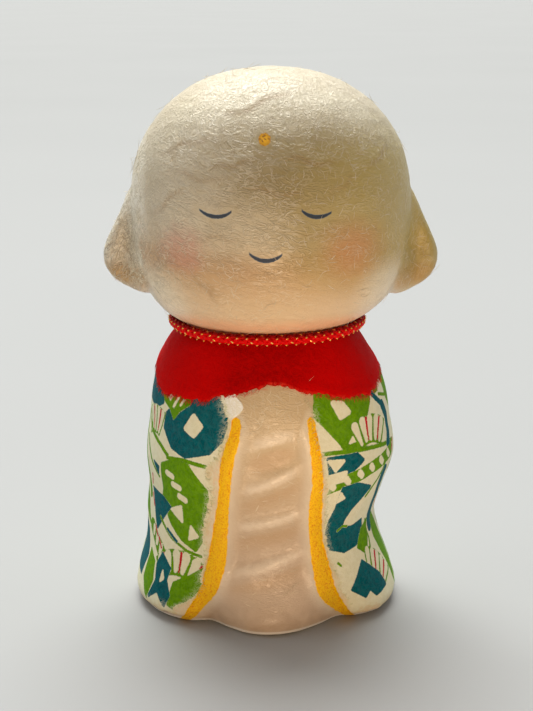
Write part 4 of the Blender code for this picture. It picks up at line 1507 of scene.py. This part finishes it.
def bib_material():
    nodes = Surface("red_washi")
    place = nodes.place()
    x = nodes.split(place)[0]
    fibres = fibre_net(nodes, place, 0.6)
    pulp = nodes.noise(place, 1.4, 4.0, 0.65)
    # Painted light and shade: the bib is painted darker red in its middle, under the head and cord, and
    # brighter red towards its sides
    beside = abs(x + 1.0) + nodes.signed_noise(place, 0.15, 2.0, 9.0)
    fuzz = nodes.field("above_edge").ramp(0.5, -0.1, 0.0, 0.6)
    base = nodes.paint(
        nodes.mix(pulp.ramp(0.32, 0.68), (0.345, 0.0, 0.0), (0.45, 0.0, 0.0)),
        (beside.ramp(3.0, 12.0, 0.0, 0.6), (0.70, 0.0, 0.0)),
        (fibres * 0.18, (0.74, 0.006, 0.003)),
        (fuzz * fibres, (0.80, 0.06, 0.03)),
    )
    roughness = pulp.ramp(0.25, 0.75, 0.56, 0.70)
    return nodes.finish(base, roughness, fibres * 0.6 + pulp * 1.4, 0.06, 0.8, Specular_IOR_Level=0.03)


def cord_top_painted_shade(nodes, place):
    """The upper side of the cord under the chin, darkened as painted shade."""
    x, _, z = nodes.split(place)
    across = x / (NECK_HALF_WIDTH + CORD_RADIUS)
    above = z - across * across * CORD_BOW
    return above.ramp(CORD_Z + 0.05, CORD_Z + 0.65, 0.0, 0.85)


def strand_material():
    nodes = Surface("red_silk")
    place = nodes.place()
    grain = nodes.noise(place, 7.0, 2.0, 0.6)
    base = nodes.mix(grain.ramp(0.3, 0.7), (0.52, 0.0, 0.0), (0.92, 0.0, 0.0))
    # Painted shade on the upper side of the red strands
    base = nodes.mix(cord_top_painted_shade(nodes, place), base, (0.24, 0.0, 0.0))
    roughness = grain.ramp(0.3, 0.7, 0.42, 0.58)
    return nodes.finish(base, roughness, grain, 0.05, 0.7, Specular_IOR_Level=0.12)


def gold_thread_material():
    nodes = Surface("gold_thread")
    place = nodes.place()
    grain = nodes.noise(place, 5.0, 2.0, 0.6)
    base = nodes.mix(grain.ramp(0.35, 0.65), (1.0, 0.58, 0.03), (1.0, 0.86, 0.24))
    # Painted shade on the upper side of the gold thread
    base = nodes.mix(cord_top_painted_shade(nodes, place), base, (0.55, 0.13, 0.0))
    roughness = grain.ramp(0.3, 0.7, 0.15, 0.30)
    return nodes.finish(base, roughness, grain, 0.04, 0.6, Metallic=GOLD_METAL)


def hair_material(name, dark, light, gloss):
    """Single paper fibres, each a little different by its mark."""
    nodes = Surface(name)
    grain = nodes.noise(nodes.place(), 3.0)
    base = nodes.mix(nodes.field("mark"), dark, light)
    roughness = grain.ramp(0.2, 0.8, 0.34, 0.52)
    return nodes.finish(base, roughness, grain, 0.02, 0.4, Specular_IOR_Level=gloss)


def floor_material():
    nodes = Surface("floor")
    place = nodes.place()
    base = nodes.mix(nodes.noise(place, 0.004), (0.340, 0.347, 0.356), (0.364, 0.371, 0.381))
    return nodes.finish(base, 0.75, nodes.noise(place, 0.8), 0.02, 0.2)


# Scene


def make_floor():
    radius, count = 30000.0, 96
    turn = 2 * math.pi * np.arange(count) / count
    ring = np.stack([radius * np.cos(turn), radius * np.sin(turn), 0 * turn], axis=-1)
    mesh = mesh_from("floor", ring, [tuple(range(count))], smooth=False)
    mesh.materials.append(floor_material())
    link("floor", mesh)


def make_light():
    """A pale studio: brighter behind and above the figure than in front of it."""
    world = bpy.data.worlds.new("studio")
    bpy.context.scene.world = world
    world.use_nodes = True
    nodes = Nodes(world.node_tree)
    way = nodes.add("ShaderNodeTexCoord", output="Generated")

    def toward(direction, low, high):
        return nodes.vector("DOT_PRODUCT", way, direction, output="Value").ramp(low, high)

    level = nodes.mix(toward((0, 1, 0), -0.5, 0.5), WORLD_FRONT, WORLD_BACK)
    level = nodes.mix(toward(WORLD_TOP_WAY, 0.45, 0.85), level, WORLD_TOP)
    nodes.link(level, world.node_tree.nodes["Background"].inputs["Color"])
    for name, place, target, size, spread, power, tint in LAMPS:
        lamp = bpy.data.lights.new(name, "AREA")
        lamp.shape = "ELLIPSE"
        lamp.size, lamp.size_y = size
        lamp.spread = math.radians(spread)
        lamp.energy, lamp.color = power, tint
        made = link(name, lamp)
        made.location = place
        made.rotation_euler = (Vector(target) - Vector(place)).to_track_quat("-Z", "Y").to_euler()
        made.visible_camera = False
    sun = bpy.data.lights.new("soft_sun", "SUN")
    sun.energy, sun.color, sun.angle = SUN_STRENGTH, SUN_TINT, SUN_SOFTNESS
    link("soft_sun", sun).rotation_euler = Vector(SUN_FROM).to_track_quat("Z", "Y").to_euler()


def make_camera():
    data = bpy.data.cameras.new("camera")
    data.sensor_fit = "VERTICAL"
    data.sensor_height = SENSOR_HEIGHT
    data.lens = FOCAL_PIXELS * SENSOR_HEIGHT / IMAGE_HEIGHT
    data.shift_x = CAMERA_SHIFT_PIXELS / IMAGE_HEIGHT
    data.clip_start, data.clip_end = 0.01, 100.0
    camera = link("camera", data)
    camera.location = (0.0, -CAMERA_DISTANCE * MM, CAMERA_HEIGHT * MM)
    camera.rotation_euler = (math.pi / 2 - CAMERA_PITCH, 0.0, 0.0)
    bpy.context.scene.camera = camera


def dress(piece, material, slot, *nodes):
    piece.data.materials.clear()
    piece.data.materials.append(material)
    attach(piece, "root")
    if nodes:
        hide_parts(*nodes)


def main():
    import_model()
    figure = make_figure()
    dress(figure, washi_material(), "white_washi", "figure")
    dress(make_robe(), robe_material(), "patterned_paper", "robe_paper")
    dress(make_bib(), bib_material(), "red_paper", "red_bib")
    strands, threads = make_cord()
    dress(strands, strand_material(), "red_cord", "neck_cord")
    dress(threads, gold_thread_material(), "red_cord")
    washi_hair = hair_material("washi_hair", (0.58, 0.49, 0.33), (0.80, 0.72, 0.56), 0.5)
    dress(make_fibres(figure), washi_hair, "white_washi")
    red_hair = hair_material("red_hair", (0.50, 0.0, 0.0), (0.80, 0.05, 0.03), 0.2)
    dress(make_bib_fringe(), red_hair, "red_paper")
    print_hair = hair_material("print_hair", (0.55, 0.62, 0.28), (0.86, 0.82, 0.62), 0.2)
    dress(make_robe_fringe(), print_hair, "patterned_paper")
    make_floor()
    make_light()
    make_camera()
    bpy.context.scene.view_settings.view_transform = "Standard"


main()
